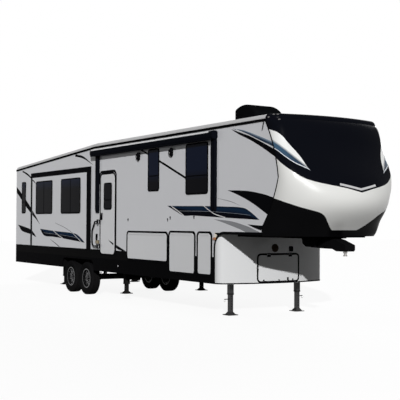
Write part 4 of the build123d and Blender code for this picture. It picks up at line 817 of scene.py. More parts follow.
# Panes as (x from, x to, z from, z to)
fixedPanes = ((-6.060, -5.760, 1.975, 2.845), (1.375, 1.850, 2.385, 3.265), (2.920, 3.730, 2.280, 3.265))
slidePanes = ((-4.920, -3.780, 1.950, 2.820), (-3.200, -2.010, 1.950, 2.820))
doorPane = (-0.740, -0.345, 2.025, 2.635)


def framePane(name, pane, side, y, rides, upright=False):
    # A frame with one rail: level at a share of the height, or upright in the middle
    xFrom, xTo, zFrom, zTo = pane
    inset = windowFrame["railInset"]
    if upright:
        middle = (xFrom + xTo) / 2
        line = ((middle, zFrom + inset), (middle, zTo - inset))
    else:
        level = zFrom + windowFrame["railHeight"] * (zTo - zFrom)
        line = ((xFrom + inset, level), (xTo - inset, level))
    makePiece(name, [sideRing(*pane, windowFrame["corner"], windowFrame["section"], side, y),
                     sideStrip(line, windowFrame["rail"], side, y)], "sealRubber", rides)


for sideName, side in sides:
    for index, pane in enumerate(fixedPanes):
        framePane(f"{sideName}_window_frame_{index}", pane, side, body["wallY"], "chassis")
    for index, pane in enumerate(slidePanes):
        framePane(f"{sideName}_slide_window_frame_{index}", pane, side, body["slideY"], sideName + "_slide", True)
framePane("door_window_frame", doorPane, -1, body["doorY"], "entry_door")
print("stage: window frames")


# Trim over the body's seams
seamTrim = {"section": ((-0.013, 0.0002), (-0.012, 0.0026), (0.0, 0.0034), (0.012, 0.0026), (0.013, 0.0002)),
            "start": (5.560, 3.515), "top": (5.560, 3.460), "upper": (5.840, 2.860), "bulge": (5.920, 2.500),
            "lower": (5.790, 2.160), "foot": (5.480, 1.678), "end": (5.4597, 1.550), "roofZ": 3.60, "roofEdge": 0.085}
edgeTrim = {"section": ((-0.026, 0.0002), (-0.023, 0.0055), (0.020, 0.0055), (0.023, 0.0002)),
            "x": 3.960, "bottom": 0.602, "radius": 0.30, "top": 1.550}
nosePlan = {"sideX": 3.990, "frontX": 4.340, "half": 1.220, "cornerShare": 0.455}
noseFoot = {"section": ((-0.011, 0.0002), (-0.010, 0.004), (0.010, 0.004), (0.011, 0.0002)), "backX": 3.962, "z": 0.613}


def bowedArcs(sideX, frontX, half, cornerShare):
    # Radii of the bowed front's corner arc and of the wide arc that it runs into
    depth = frontX - sideX
    corner = cornerShare * depth
    return corner, (depth ** 2 + half ** 2 - 2 * half * corner) / (2 * (depth - corner))


def bowedPlan(backX, count=25):
    # Plan of the bowed front: straight side, corner arc and wide arc, from -y to +y
    sideX, frontX, half = (nosePlan[key] for key in ("sideX", "frontX", "half"))
    corner, bow = bowedArcs(**nosePlan)
    turn = math.atan2(half - corner, sideX - (frontX - bow))
    wide = np.linspace(-turn, turn, 2 * count)
    small = np.linspace(-math.pi / 2, -turn, count)
    arc = np.stack([frontX - bow + bow * np.cos(wide), bow * np.sin(wide)], axis=1)
    near = np.stack([sideX + corner * np.cos(small), corner - half + corner * np.sin(small)], axis=1)
    far = near[::-1] * (1, -1)
    return joinRuns(np.array([[backX, -half]]), near, arc, far, np.array([[backX, half]]))


def planStrip(plan, profile, z):
    # Trim profile carried level round a plan: (up, outwards)
    along = directions(plan)
    outward = np.stack([along[:, 1], -along[:, 0], np.zeros(len(plan))], axis=1)
    return sweepShell(profile, np.column_stack([plan, np.full(len(plan), z)]), ((0, 0, 1), outward))


seamLine = joinRuns(lineThrough("line", seamTrim["start"], seamTrim["top"], count=3),
                    lineThrough("arc", seamTrim["top"], seamTrim["upper"], seamTrim["bulge"]),
                    lineThrough("arc", seamTrim["bulge"], seamTrim["lower"], seamTrim["foot"]),
                    lineThrough("line", seamTrim["foot"], seamTrim["end"], count=4))
edgeX, edgeZ, edgeR = edgeTrim["x"], edgeTrim["top"], edgeTrim["radius"]
diagonal = edgeR * math.sin(math.pi / 4)
edgeMiddle = (edgeX + edgeR - diagonal, edgeZ - edgeR + diagonal)
edgeLine = joinRuns(lineThrough("line", (edgeX, edgeTrim["bottom"]), (edgeX, edgeZ - edgeR), count=6),
                    lineThrough("arc", (edgeX, edgeZ - edgeR), edgeMiddle, (edgeX + edgeR, edgeZ)),
                    lineThrough("line", (edgeX + edgeR, edgeZ), (seamTrim["end"][0], edgeZ), count=8))
for sideName, side in sides:
    makePiece(f"{sideName}_seam_trim", [sideStrip(seamLine, seamTrim["section"], side)], "sealRubber")
    makePiece(f"{sideName}_edge_trim", [sideStrip(edgeLine, edgeTrim["section"], side)], "blackTrim")
bend = np.linspace(0, math.pi / 2, 9)
rim = seamTrim["roofEdge"]
nearEdge = np.stack([-body["wallY"] + rim - rim * np.cos(bend), seamTrim["roofZ"] - rim + rim * np.sin(bend)], axis=1)
roofLine = joinRuns(nearEdge, nearEdge[::-1] * (-1, 1))
slope = directions(roofLine)
roofOut = np.stack([np.zeros(len(roofLine)), -slope[:, 1], slope[:, 0]], axis=1)
roofPath = np.column_stack([np.full(len(roofLine), seamTrim["top"][0]), roofLine])
makePiece("roof_seam_trim", [sweepShell(seamTrim["section"], roofPath, ((1, 0, 0), roofOut))], "sealRubber")
footTrim = planStrip(bowedPlan(noseFoot["backX"]), noseFoot["section"], noseFoot["z"])
makePiece("nose_bottom_trim", [footTrim], "blackTrim")
print("stage: seam and edge trim")

# Plates, rings, bolts and bars are made lying in x and y with z outwards, then set in place
# by the directions that their x, y and z take
wallAxes = {side: ((1, 0, 0), (0, 0, 1), (0, side, 0)) for side in (-1, 1)}
backwards = ((0, 1, 0), (0, 0, 1), (-1, 0, 0))
forwards = ((0, 1, 0), (0, 0, 1), (1, 0, 0))
upwards = ((1, 0, 0), (0, 1, 0), (0, 0, 1))
curb, wall = wallAxes[-1], body["wallY"]


def fit(name, finish, *parts, **settings):
    # A piece of several parts, each a shell, its directions and its places as (x, y, z)
    shells = [placeShell(shell, axes, place) for shell, axes, *places in parts for place in places]
    return makePiece(name, shells, finish, **settings)


def bothSides(x, y, z):
    return (x, -y, z), (x, y, z)


def stackShell(rings, levels, closed=False):
    # Rings in x and y, each at its own level, joined into one skin
    rows = [np.column_stack([ring, np.full(len(ring), level)]) for ring, level in zip(rings, levels)]
    return gridShell(np.stack(rows), closeAlong=closed, closeAcross=True)


def plateShell(width, height, radius, depth, bevel=0.002, count=7):
    # Rings of one rounded rectangle from the foot up, the last drawn in by the bevel
    loop, outward = roundedLoop(-width / 2, width / 2, -height / 2, height / 2, radius, count)
    return stackShell((loop * 0, loop, loop, loop - outward * bevel, loop * 0), (0, 0, depth - bevel, depth, depth))


def ringShell(width, height, radius, section, count=9, between=0):
    # Closed section of (outwards, up) pairs carried round a rounded rectangle
    loop, outward = roundedLoop(-width / 2, width / 2, -height / 2, height / 2, radius, count, between)
    return stackShell([loop + outward * out for out, _ in section], [up for _, up in section], closed=True)


def domeShell(radius, height, count=14):
    shares = ((0, 0), (1, 0), (0.94, 0.45), (0.64, 0.86), (0, 1))
    return latheShell([(radius * out, height * up) for out, up in shares], count)


def boltShell(radius, height, count=6):
    shares = ((0, 0), (1, 0), (1, 0.72), (0.74, 1), (0, 1))
    return latheShell([(radius * out, height * up) for out, up in shares], count)


def barShell(path, radius, normal, count=10):
    # Round bar along a line that lies in a plane with the given normal
    path = np.asarray(path, float)
    turn = np.linspace(0, 2 * math.pi, count, endpoint=False)
    section = radius * np.stack([np.cos(turn), np.sin(turn)], axis=1)
    return sweepShell(section, path, (np.cross(directions(path), normal), normal))


# Slide rooms: wiper seal on the wall behind the rear edge
slideSeal = {"line": ((-5.2885, 1.10), (-5.2885, 3.06)),
             "section": ((-0.056, 0.0), (-0.056, 0.017), (-0.042, 0.0245), (0.042, 0.0245), (0.056, 0.017),
                         (0.056, 0.0))}
for sideName, side in sides:
    makePiece(f"{sideName}_slide_seal", [sideStrip(slideSeal["line"], slideSeal["section"], side)], "sealRubber")

# Entry door: drip trim over the top and down the hinge side, latch cover, lamp and switch plate
doorTrim = {"rear": -0.986, "front": -0.134, "top": 2.898, "corner": 0.115, "rearFoot": 2.62, "frontFoot": 0.985,
            "section": ((-0.026, 0.0), (-0.026, 0.005), (-0.020, 0.007), (0.020, 0.007), (0.026, 0.005), (0.026, 0.0))}
doorLatch = {"x": -0.862, "z": 1.870, "cover": (0.084, 0.164, 0.016, 0.0155, 0.003), "coverY": body["doorY"] + 0.0002,
             "paddle": (0.050, 0.080, 0.016), "paddleY": 1.2405, "paddleZ": 1.848, "lockY": 1.2396, "lockZ": 1.926}
doorLamp = {"place": (-1.090, -wall, 1.270), "base": (0.164, 0.100, 0.018, 0.008),
            "lens": (0.150, 0.086, 0.016, 0.024, 0.010), "plate": (0.090, 0.142, 0.010, 0.012),
            "platePlace": (-1.127, -wall, 1.392), "switch": (0.030, 0.052, 0.006, 0.010)}


def cornerArc(x, z, radius, quarter):
    # Quarter turn about a corner's centre, from the quarter's start
    turn = np.linspace(0, math.pi / 2, 9) + quarter * math.pi / 2
    return np.stack([x + radius * np.cos(turn), z + radius * np.sin(turn)], axis=1)


radius, front, back = doorTrim["corner"], doorTrim["front"], doorTrim["rear"]
shoulder = doorTrim["top"] - radius
trimLine = joinRuns(lineThrough("line", (front, doorTrim["frontFoot"]), (front, shoulder), count=6),
                    cornerArc(front - radius, shoulder, radius, 0), cornerArc(back + radius, shoulder, radius, 1),
                    lineThrough("line", (back, shoulder), (back, doorTrim["rearFoot"]), count=3))
makePiece("door_drip_trim", [sideStrip(trimLine, doorTrim["section"], -1)], "blackTrim")
fit("door_latch_cover", "blackTrim",
    (plateShell(*doorLatch["cover"]), curb, (doorLatch["x"], -doorLatch["coverY"], doorLatch["z"])),
    (cushionBlock(doorLatch["paddle"]), curb, (doorLatch["x"], -doorLatch["paddleY"], doorLatch["paddleZ"])),
    rides="entry_door")
fit("door_lock", "brightMetal",
    (domeShell(0.011, 0.005), curb, (doorLatch["x"], -doorLatch["lockY"], doorLatch["lockZ"])), rides="entry_door")
fit("door_lamp_base", "blackTrim", (plateShell(*doorLamp["base"]), curb, doorLamp["place"]),
    (plateShell(*doorLamp["plate"]), curb, doorLamp["platePlace"]),
    (plateShell(*doorLamp["switch"]), curb, np.add(doorLamp["platePlace"], (0, -0.011, 0))))
fit("door_lamp_lens", "strawLens", (plateShell(*doorLamp["lens"]), curb, doorLamp["place"]), slotName="amber_lens")

# Baggage doors: a black seal outside each frame, widened into painted shade that stands in for the frame's shadow,
# round doors given as (x from, x to, z from, z to)
surround = {"reach": 0.046, "corner": 0.086, "section": ((-0.011, 0.0), (-0.011, 0.006), (0.007, 0.006), (0.011, 0.0)),
            "doors": {-1: ((0.455, 2.180, 0.953, 1.495), (2.300, 3.240, 0.763, 1.515), (3.390, 3.833, 0.770, 1.515)),
                      1: ((2.300, 3.240, 0.763, 1.515),)}}
for sideName, side in sides:
    parts = []
    for xFrom, xTo, zFrom, zTo in surround["doors"][side]:
        width, height = xTo - xFrom + 2 * surround["reach"], zTo - zFrom + 2 * surround["reach"]
        parts.append((ringShell(width, height, surround["corner"], surround["section"]), wallAxes[side],
                      ((xFrom + xTo) / 2, side * wall, (zFrom + zTo) / 2)))
    fit(f"{sideName}_baggage_seals_and_shade", "sealRubber", *parts)

# Small catches on the wall that hold the baggage doors up, and a cap in the skirt
catches = {"spots": ((0.471, 1.804), (2.215, 1.803), (2.318, 1.841), (3.237, 1.851)), "drop": 0.020}
fit("door_catches", "blackTrim", (domeShell(0.019, 0.016), curb, *[(x, -wall, z) for x, z in catches["spots"]]),
    (plateShell(0.022, 0.050, 0.006, 0.008), curb, *[(x, -wall, z - catches["drop"]) for x, z in catches["spots"]]))
fit("skirt_cap", "brightMetal", (domeShell(0.017, 0.007), curb, (-0.009, -wall, 0.761)), slotName="black_skirt")

# Wall lamps: a backplate, two lobes on top and a beak in two parts below, in place of the plain blocks
wallLamp = {"stations": (7.470, 8.880), "lens": (0.002, -1.276, 3.134),
            # Each part, with its place from the station
            "parts": ((plateShell(0.090, 0.140, 0.030, 0.012), 0.002, -wall, 3.136),
                      (cushionBlock((0.062, 0.100, 0.076), 0.66), -0.029, -1.246, 3.158),
                      (cushionBlock((0.064, 0.118, 0.080), 0.66), 0.028, -1.248, 3.176),
                      (cushionBlock((0.100, 0.090, 0.064), 0.75), 0.002, -1.246, 3.122),
                      (cushionBlock((0.050, 0.074, 0.044), 0.80), 0.010, -1.240, 3.087))}
lampXs = [station(distance) for distance in wallLamp["stations"]]
parts = [(shell, curb, (x + shift, y, z)) for x in lampXs for shell, shift, y, z in wallLamp["parts"]]
piece = fit("wall_lamp_heads", "blackTrim", *parts, smooth=60)
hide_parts("wall_lamps")
fit("wall_lamp_lenses", "clearLens",
    (domeShell(0.013, 0.007), curb, *[np.add((x, 0, 0), wallLamp["lens"]) for x in lampXs]))
print("stage: door, lamps and wall fittings")

# Awning: end caps, lead rail and seams along the case, arm channels with pointed feet
awning = {"y": 1.2825, "z": 3.360, "cap": (0.128, 0.164, 0.046), "rearX": -1.270, "frontX": 3.990,
          "frontCap": 0.075, "rearCap": 0.018, "lipY": 1.327, "lipZ": 3.286, "lipRadius": 0.016, "faceY": 1.345,
          "seams": (3.330, 3.392), "seam": ((-0.003, -0.002), (-0.002, 0.0016), (0.002, 0.0016), (0.003, -0.002)),
          "railZ": 3.42, "railFoot": 0.06, "arms": (-1.100, 3.930), "boltZ": (2.10, 2.55, 3.05)}
caseEnds = (awning["rearX"], awning["frontX"])
fit("awning_end_caps", "awningBlack",
    (plateShell(*awning["cap"], awning["frontCap"], 0.012), forwards, (awning["frontX"], -awning["y"], awning["z"])),
    (plateShell(*awning["cap"], awning["rearCap"], 0.006), backwards, (awning["rearX"], -awning["y"], awning["z"])),
    slotName="awning_black")
leadRail = barShell([(x, -awning["lipY"], awning["lipZ"]) for x in caseEnds], awning["lipRadius"], (0, 0, 1), 12)
caseSeams = [sideStrip([(x, z) for x in caseEnds], awning["seam"], -1, awning["faceY"]) for z in awning["seams"]]
makePiece("awning_lead_rail", [leadRail] + caseSeams, "awningBlack", slotName="awning_black")


def armChannel(xFrom, xTo, depth, foot):
    # Channel beside an arm: a plan section (x, y) carried down, ending in a wedge
    levels = np.array([3.285, 2.95, 2.40, 2.02, foot])
    narrow = np.array([1.0, 1.0, 1.0, 1.0, 0.30])
    section = np.array([[-0.5, 0.0], [-0.5, 0.86], [-0.38, 1.0], [0.38, 1.0], [0.5, 0.86], [0.5, 0.0]])
    middle, width = (xFrom + xTo) / 2, xTo - xFrom
    x = middle + width * narrow[:, None] * section[None, :, 0]
    y = -wall - depth * (0.35 + 0.65 * narrow[:, None]) * section[None, :, 1]
    rows = np.stack([x, y, np.broadcast_to(levels[:, None], x.shape)], axis=-1)
    caps = [np.broadcast_to(rows[k].mean(0), rows[k].shape)[None] for k in (0, -1)]
    return gridShell(np.concatenate([caps[0], rows, caps[1]]), closeAcross=True)


armParts = []
for x in awning["arms"]:
    armParts += [(armChannel(x + 0.052, x + 0.108, 0.058, 1.945), upwards, (0, 0, 0)),
                 (armChannel(x - 0.034, x + 0.034, 0.054, 1.952), upwards, (0, 0, 0)),
                 (boltShell(0.010, 0.006), curb, *[(x, -1.2735, z) for z in awning["boltZ"]]),
                 (cushionBlock((0.150, 0.110, 0.050), 0.5), curb, (x + 0.030, -1.246, 3.235))]
fit("awning_arm_channels", "awningBlack", *armParts, slotName="awning_black")

# Pale rail over the case's upper edge, hugging its rounding, which rays from the side find
railZ, railFoot = awning["railZ"], awning["railFoot"]
caseTop = [nodes["awning_housing"].ray_cast((1.0, -2.0, z), (0.0, 1.0, 0.0))[1] for z in np.linspace(3.404, 3.4385, 7)]
railSection = [(hit[2] - railZ, -hit[1] - wall + 0.0016) for hit in caseTop]
railSection += [(railSection[-1][0], railFoot), (railSection[0][0], railFoot)]
railLine = ((awning["rearX"] + awning["rearCap"], railZ), (awning["frontX"] - awning["frontCap"], railZ))
makePiece("awning_top_rail", [sideStrip(railLine, railSection, -1)], "doorPaint", slotName="grey_wall")

# Gutter along the joint of wall and roof, with a spout near its front end
gutter = {"rear": (-6.508, 3.197), "bend": (-1.250, 3.497), "front": (5.545, 3.497), "spoutX": 5.520,
          "section": ((-0.024, 0.0), (-0.024, 0.0135), (-0.017, 0.016), (0.015, 0.016), (0.020, 0.013), (0.020, 0.0)),
          "spout": ((1.230, 3.490), (1.237, 3.440), (1.248, 3.390), (1.258, 3.345)), "spoutRadius": 0.0085}
gutterLine = joinRuns(lineThrough("line", gutter["rear"], gutter["bend"], count=12),
                      lineThrough("line", gutter["bend"], gutter["front"], count=14))
for sideName, side in sides:
    spout = barShell([(gutter["spoutX"], side * y, z) for y, z in gutter["spout"]], gutter["spoutRadius"], (1, 0, 0))
    makePiece(f"{sideName}_gutter", [sideStrip(gutterLine, gutter["section"], side), spout], "sealRubber")
print("stage: awning and gutters")

# Lower nose: trim, hinges and latches of the hatch, a round and a square cover
hatch = {"ring": (0.965, 0.519, 0.068), "ringZ": 0.8915, "hingeY": (("curb", -0.25), ("road", 0.25)),
         "section": ((-0.0165, -0.001), (-0.0150, 0.0035), (0.0150, 0.0035), (0.0165, -0.001)),
         "pad": (0.074, 0.020, 0.004, 0.003, 0.0006), "padX": 4.3400, "padZ": 1.1612,
         "cover": (0.0714, 0.044, 0.003, 0.0122, 0.001), "coverX": 4.3424, "coverZ": 1.1215, "latchFoot": 0.654,
         # (y, width, height) of each latch
         "latches": ((-0.354, 0.030, 0.022), (-0.012, 0.026, 0.020), (0.199, 0.036, 0.058), (0.324, 0.030, 0.026))}
roundCover = {"y": -0.106, "z": 1.266, "radius": 0.076,
              "steps": ((0, 0), (1, 0), (1, 0.008), (0.86, 0.013), (0.80, 0.010), (0.45, 0.017), (0, 0.019))}
squareCover = {"y": 0.280, "z": 1.243, "size": 0.100, "face": (0.076, 0.070), "drop": 0.004}
bowRadius = bowedArcs(**nosePlan)[1]


def onNose(shell, y, z):
    # The shell's x runs round the bow's arc, its y upwards and its z out from the surface
    points, faces = shell
    turn = (points[:, 0] + y) / bowRadius
    reach = bowRadius + points[:, 2]
    middle = nosePlan["frontX"] - bowRadius
    return np.stack([middle + reach * np.cos(turn), reach * np.sin(turn), points[:, 1] + z], axis=1), faces


hatchRing = ringShell(*hatch["ring"], hatch["section"], 9, 22)
makePiece("hatch_trim", [onNose(hatchRing, 0.0, hatch["ringZ"])], "sealRubber")
for name, y in hatch["hingeY"]:
    fit(f"{name}_hatch_hinge_pad", "blackTrim",
        (plateShell(*hatch["pad"]), forwards, (hatch["padX"], y, hatch["padZ"])))
    fit(f"{name}_hatch_hinge_cover", "blackTrim",
        (plateShell(*hatch["cover"]), forwards, (hatch["coverX"], y, hatch["coverZ"])), rides="nose_hatch")
makePiece("hatch_latches", [onNose(plateShell(width, height, 0.006, 0.012, 0.003), y, hatch["latchFoot"] + height / 2)
                            for y, width, height in hatch["latches"]], "blackTrim", "nose_hatch")
coverSteps = [(roundCover["radius"] * share, height) for share, height in roundCover["steps"]]
makePiece("nose_cover", [onNose(latheShell(coverSteps, 40), roundCover["y"], roundCover["z"])], "coverBrown")
size, squareY, squareZ = (squareCover[key] for key in ("size", "y", "z"))
squareFoot, squareFace = plateShell(size, size, 0.010, 0.010), plateShell(*squareCover["face"], 0.008, 0.007)
makePiece("nose_square_cover", [onNose(squareFoot, squareY, squareZ),
                                onNose(squareFace, squareY, squareZ - squareCover["drop"])], "blackTrim")

# Cap: bright chevron under the dark screen, clearance lamps at the crown's corners
cap = nodes["front_cap"]
chevron = {"half": 0.395, "tipZ": 2.302, "rise": 0.205,
           "section": ((-0.021, -0.002), (-0.017, 0.006), (0.019, 0.006), (0.023, -0.002))}
hits = [cap.ray_cast((8.0, y, chevron["tipZ"] + chevron["rise"] * abs(y)), (-1.0, 0.0, 0.0))
        for y in np.linspace(-chevron["half"], chevron["half"], 23)]
path, normals = (np.array([hit[k] for hit in hits]) for k in (1, 2))
normals /= np.linalg.norm(normals, axis=1)[:, None]
makePiece("cap_chevron", [sweepShell(chevron["section"], path, (np.cross(normals, directions(path)), normals))],
          "brightMetal", slotName="cap_gelcoat")
crown = {"lamp": (0.040, 0.024, 0.010, 0.0045), "sink": 0.002,
         "places": ((5.676, 1.136, 3.582), (5.724, 1.087, 3.581), (5.777, 1.097, 3.490), (5.616, 1.203, 3.536))}
lampParts = []
for near in crown["places"]:
    for spot in bothSides(*near):
        _, place, normal, _ = cap.closest_point_on_mesh(spot)
        sideways = np.cross((0.0, 0.0, 1.0), normal)
        sideways /= np.linalg.norm(sideways)
        lampParts.append((plateShell(*crown["lamp"]), (sideways, np.cross(normal, sideways), normal),
                          np.array(place) - crown["sink"] * np.array(normal)))
fit("crown_lamps", "smokedLens", *lampParts, slotName="cap_gelcoat")
print("stage: nose and cap fittings")

# Wheels: tread, bright lip and spoke edges, nuts. Local z runs outwards from the wheel's middle
wheel = {"y": 1.094, "z": 0.390, "x": {"rear": -2.685, "front": -1.772}, "around": 180, "slit": 0.006, "ribCut": 0.004,
         "edgeReach": (0.086, 0.199), "edgeLevel": 0.055, "nut": (0.0105, 0.020), "nutRing": 0.062, "nutLevel": 0.0545,
         "edge": ((-0.0036, -0.001), (-0.0022, 0.0026), (0.0022, 0.0026), (0.0036, -0.001))}
# (radius, outwards) from the bead over the sidewall's ribs and the shoulder to the crown
tyreHalf = np.array([
    (0.2203, 0.0800), (0.2303, 0.0815), (0.2423, 0.0920), (0.2600, 0.1025), (0.2615, 0.1048), (0.2670, 0.1068),
    (0.2690, 0.1060), (0.2860, 0.1126), (0.3053, 0.1170), (0.3068, 0.1184), (0.3120, 0.1184), (0.3136, 0.1168),
    (0.3340, 0.1134), (0.3520, 0.1094), (0.3535, 0.1104), (0.3570, 0.1104), (0.3585, 0.1084), (0.3680, 0.1064),
    (0.3780, 0.1030), (0.3836, 0.0965), (0.3868, 0.0865), (0.3877, 0.0690), (0.3869, 0.0668), (0.3795, 0.0655),
    (0.3795, 0.0580), (0.3880, 0.0567), (0.3886, 0.0540), (0.3893, 0.0360), (0.3888, 0.0338), (0.3800, 0.0325),
    (0.3800, 0.0245), (0.3892, 0.0232), (0.3897, 0.0205), (0.3900, 0.0)])


def tyreShell():
    # Torus of the whole profile. Every fifth step round is cut back at the shoulders, and
    # every fifth, two steps on, at the ribs
    profile = np.vstack([tyreHalf, (tyreHalf * (1, -1))[::-1][1:]])
    radius, out = profile[:, :1], profile[:, 1:]
    shoulder = (np.abs(out) > 0.075) & (radius > 0.372)
    rib = (radius > 0.3885) & (np.abs(out) > 0.019)
    step = np.arange(wheel["around"])
    cut = shoulder * (step % 5 == 0) * wheel["slit"] + rib * (step % 5 == 2) * wheel["ribCut"]
    return spunShell(radius - cut, out, closed=True)


def onCircle(radius, turns, level):
    # Points of a circle about the z axis
    return np.stack([radius * np.cos(turns), radius * np.sin(turns), np.full(len(turns), level)], axis=1)


# Eight spokes and eight nuts, at the same turns
wheelTurns = np.radians(22.5 + 45 * np.arange(8))


def spokeEdges():
    # Straight bars from hub to lip, two to a spoke, drawn together outwards
    drawn = np.radians(11.6 - 6.2 * np.linspace(0, 1, 6))
    bars = []
    for middle in wheelTurns:
        for edge in (-1, 1):
            line = onCircle(np.linspace(*wheel["edgeReach"], 6), middle + edge * drawn, wheel["edgeLevel"])
            bars.append(sweepShell(wheel["edge"], line, (np.cross((0.0, 0.0, 1.0), directions(line)), (0, 0, 1))))
    return bars


tyre = tyreShell()
nuts = repeatShell(boltShell(*wheel["nut"]), onCircle(wheel["nutRing"], wheelTurns, wheel["nutLevel"]))
# Bright rings of the rim as (radius, outwards): outer lip, step inside it, edge of the hub cap
lip = ((0.2120, 0.0880), (0.2126, 0.0902), (0.2150, 0.0912), (0.2262, 0.0912), (0.2286, 0.0900), (0.2290, 0.0880))
innerStep = ((0.2000, 0.0540), (0.2006, 0.0572), (0.2034, 0.0572), (0.2040, 0.0540))
hubEdge = ((0.0400, 0.0825), (0.0404, 0.0848), (0.0462, 0.0848), (0.0472, 0.0825))
satin = [latheShell(section, count, closed=True) for section, count in ((lip, 72), (innerStep, 72), (hubEdge, 36))]
satin += spokeEdges()
for sideName, side in sides:
    for end, x in wheel["x"].items():
        tag, axes, place = f"{sideName}_{end}", wallAxes[side], (x, side * wheel["y"], wheel["z"])
        rides = "wheel_" + tag
        piece = fit(tag + "_tread", "tyreRubber", (tyre, axes, place), rides=rides, slotName="tyre_rubber", smooth=28)
        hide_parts(f"tyre_{sideName}_{end}")
        fit(tag + "_spoke_edges", "alloyBright", *[(shell, axes, place) for shell in satin], rides=rides,
            slotName="alloy_wheel")
        fit(tag + "_wheel_nuts", "nutMetal", (nuts, axes, place), rides=rides, slotName="alloy_wheel")
print("stage: wheels")

# Axles and springs: two U-bolts at every spring seat
springSeat = {"y": 0.840, "tube": 0.038, "z": 0.390, "top": 0.535, "gap": 0.030, "rod": 0.007}
turn = np.linspace(math.pi, 2 * math.pi, 11)
bend = springSeat["tube"] + springSeat["rod"]
under = np.stack([np.zeros(11), bend * np.cos(turn), springSeat["z"] + bend * np.sin(turn)], axis=1)
uLine = np.vstack([[[0, -bend, springSeat["top"]]], under, [[0, bend, springSeat["top"]]]])
uBolt = barShell(uLine, springSeat["rod"], (1, 0, 0), 8)
seatSpots = [(x + shift, side * springSeat["y"], 0.0) for x in wheel["x"].values() for side in (-1, 1)
             for shift in (-springSeat["gap"], springSeat["gap"])]
makePiece("spring_u_bolts", [repeatShell(uBolt, seatSpots)], "springBlack", slotName="spring_steel")

# Landing legs and jacks: rows of pin holes, pull rings, sleeve collars and bolts
legs = {"x": 3.860, "y": 0.790, "inner": 0.0374, "outer": 0.0445, "ring": (0.024, 0.0032), "ringY": 0.922,
        "ringZ": 0.276, "collarZ": 0.392, "boltX": (-0.026, 0.026), "boltZ": (0.665, 0.715),
        "jackX": (station(3.060), station(6.480)), "jackY": 0.990, "jackZ": 0.362}
holeZ = np.arange(0.115, 0.372, 0.048)
hole, bolt = plateShell(0.019, 0.019, 0.0094, 0.0012, 0.0003, 5), boltShell(0.011, 0.010)
ringRadius, wire = legs["ring"]
pullRing = barShell(onCircle(ringRadius, np.linspace(0, 2 * math.pi, 25), 0.0), wire, (0, 0, 1), 8)
collar = ringShell(0.092, 0.092, 0.008, ((0.0, -0.006), (0.006, -0.006), (0.006, 0.014), (0.0, 0.014)), 4)
jackCollar = ringShell(0.112, 0.112, 0.010, ((0.0, -0.005), (0.007, -0.005), (0.007, 0.016), (0.0, 0.016)), 4)
holes, collars = [], []
for side, axes in wallAxes.items():
    holes += [(hole, forwards, *[(legs["x"] + legs["inner"], side * legs["y"], z) for z in holeZ]),
              (hole, axes, *[(legs["x"], side * (legs["y"] + legs["inner"]), z) for z in holeZ[:-1]])]
    collars += [(collar, upwards, (legs["x"], side * legs["y"], legs["collarZ"])),
                (bolt, axes, *[(legs["x"] + shift, side * (legs["y"] + legs["outer"]), z)
                               for shift in legs["boltX"] for z in legs["boltZ"]])]
fit("leg_holes", "sealRubber", *holes, slotName="black_steel")
fit("leg_pull_rings", "brightMetal", (pullRing, wallAxes[1], *bothSides(legs["x"], legs["ringY"], legs["ringZ"])),
    slotName="bare_steel", smooth=60)
fit("leg_collars", "legBlack", *collars, slotName="black_steel")
fit("jack_collars", "legBlack", (jackCollar, upwards, *[place for x in legs["jackX"]
                                                      for place in bothSides(x, legs["jackY"], legs["jackZ"])]),
    slotName="black_steel")

# Pin box: bolt heads on both cheeks
cheek = {"y": 0.2218, "bolts": ((5.345, 1.432), (5.450, 1.432), (5.555, 1.432), (5.655, 1.432), (5.345, 1.372),
                                (5.555, 1.372))}
heads = [(boltShell(0.016, 0.013), axes, *[(x, side * cheek["y"], z) for x, z in cheek["bolts"]])
         for side, axes in wallAxes.items()]
fit("pin_box_bolts", "frameBlack", *heads, slotName="pin_box_paint")
print("stage: running gear")

# Rear: window frame, lamp bezels, red lamps over the window, blank plate holder, bumper caps, ladder feet
rear = {"x": -6.510, "window": (1.100, 0.800, 0.060), "windowZ": 2.420, "railHalf": 0.38,
        "lampY": 1.060, "lampZ": 1.400,
        "bezel": ((0.0, 0.0), (0.017, 0.0), (0.015, 0.013), (0.005, 0.019), (0.0, 0.019)),
        "reverse": (-6.5318, 1.292), "topZ": 3.075, "topY": (-1.10, -0.20, 0.0, 0.20, 1.10),
        "plateY": -0.480, "plateZ": 0.985, "plateLampZ": 1.082, "bumper": (-6.570, 1.0985, 0.670),
        "ladderX": -6.612, "ladderY": (0.520, 0.880), "ladderFoot": 1.150, "ladderZ": (1.85, 2.98)}
rearX, lampY = rear["x"], rear["lampY"]
railLine = np.array([[0.0, -rear["railHalf"], 0.0], [0.0, rear["railHalf"], 0.0]])
upright = sweepShell(windowFrame["rail"], railLine, ((1, 0, 0), (0, 0, 1)))
windowPlace = (rearX, 0.0, rear["windowZ"])
fit("rear_window_frame", "sealRubber", (ringShell(*rear["window"], windowFrame["section"]), backwards, windowPlace),
    (upright, backwards, windowPlace))
fit("tail_lamp_bezels", "blackTrim",
    (ringShell(0.110, 0.360, 0.040, rear["bezel"]), backwards, *bothSides(rearX, lampY, rear["lampZ"])))
reverseX, reverseZ = rear["reverse"]
fit("reverse_lenses", "clearLens",
    (plateShell(0.080, 0.086, 0.014, 0.004), backwards, *bothSides(reverseX, lampY, reverseZ)), slotName="red_lens")
fit("rear_top_lamps", "redLens",
    (plateShell(0.110, 0.026, 0.010, 0.018, 0.006), backwards, *[(rearX, y, rear["topZ"]) for y in rear["topY"]]),
    slotName="red_lens")
fit("plate_holder", "blackTrim",
    (plateShell(0.320, 0.165, 0.012, 0.006), backwards, (rearX, rear["plateY"], rear["plateZ"])),
    (plateShell(0.110, 0.026, 0.008, 0.026, 0.006), backwards, (rearX, rear["plateY"], rear["plateLampZ"])))
bumperCap, bumperPlaces = plateShell(0.104, 0.104, 0.014, 0.014, 0.004), bothSides(*rear["bumper"])
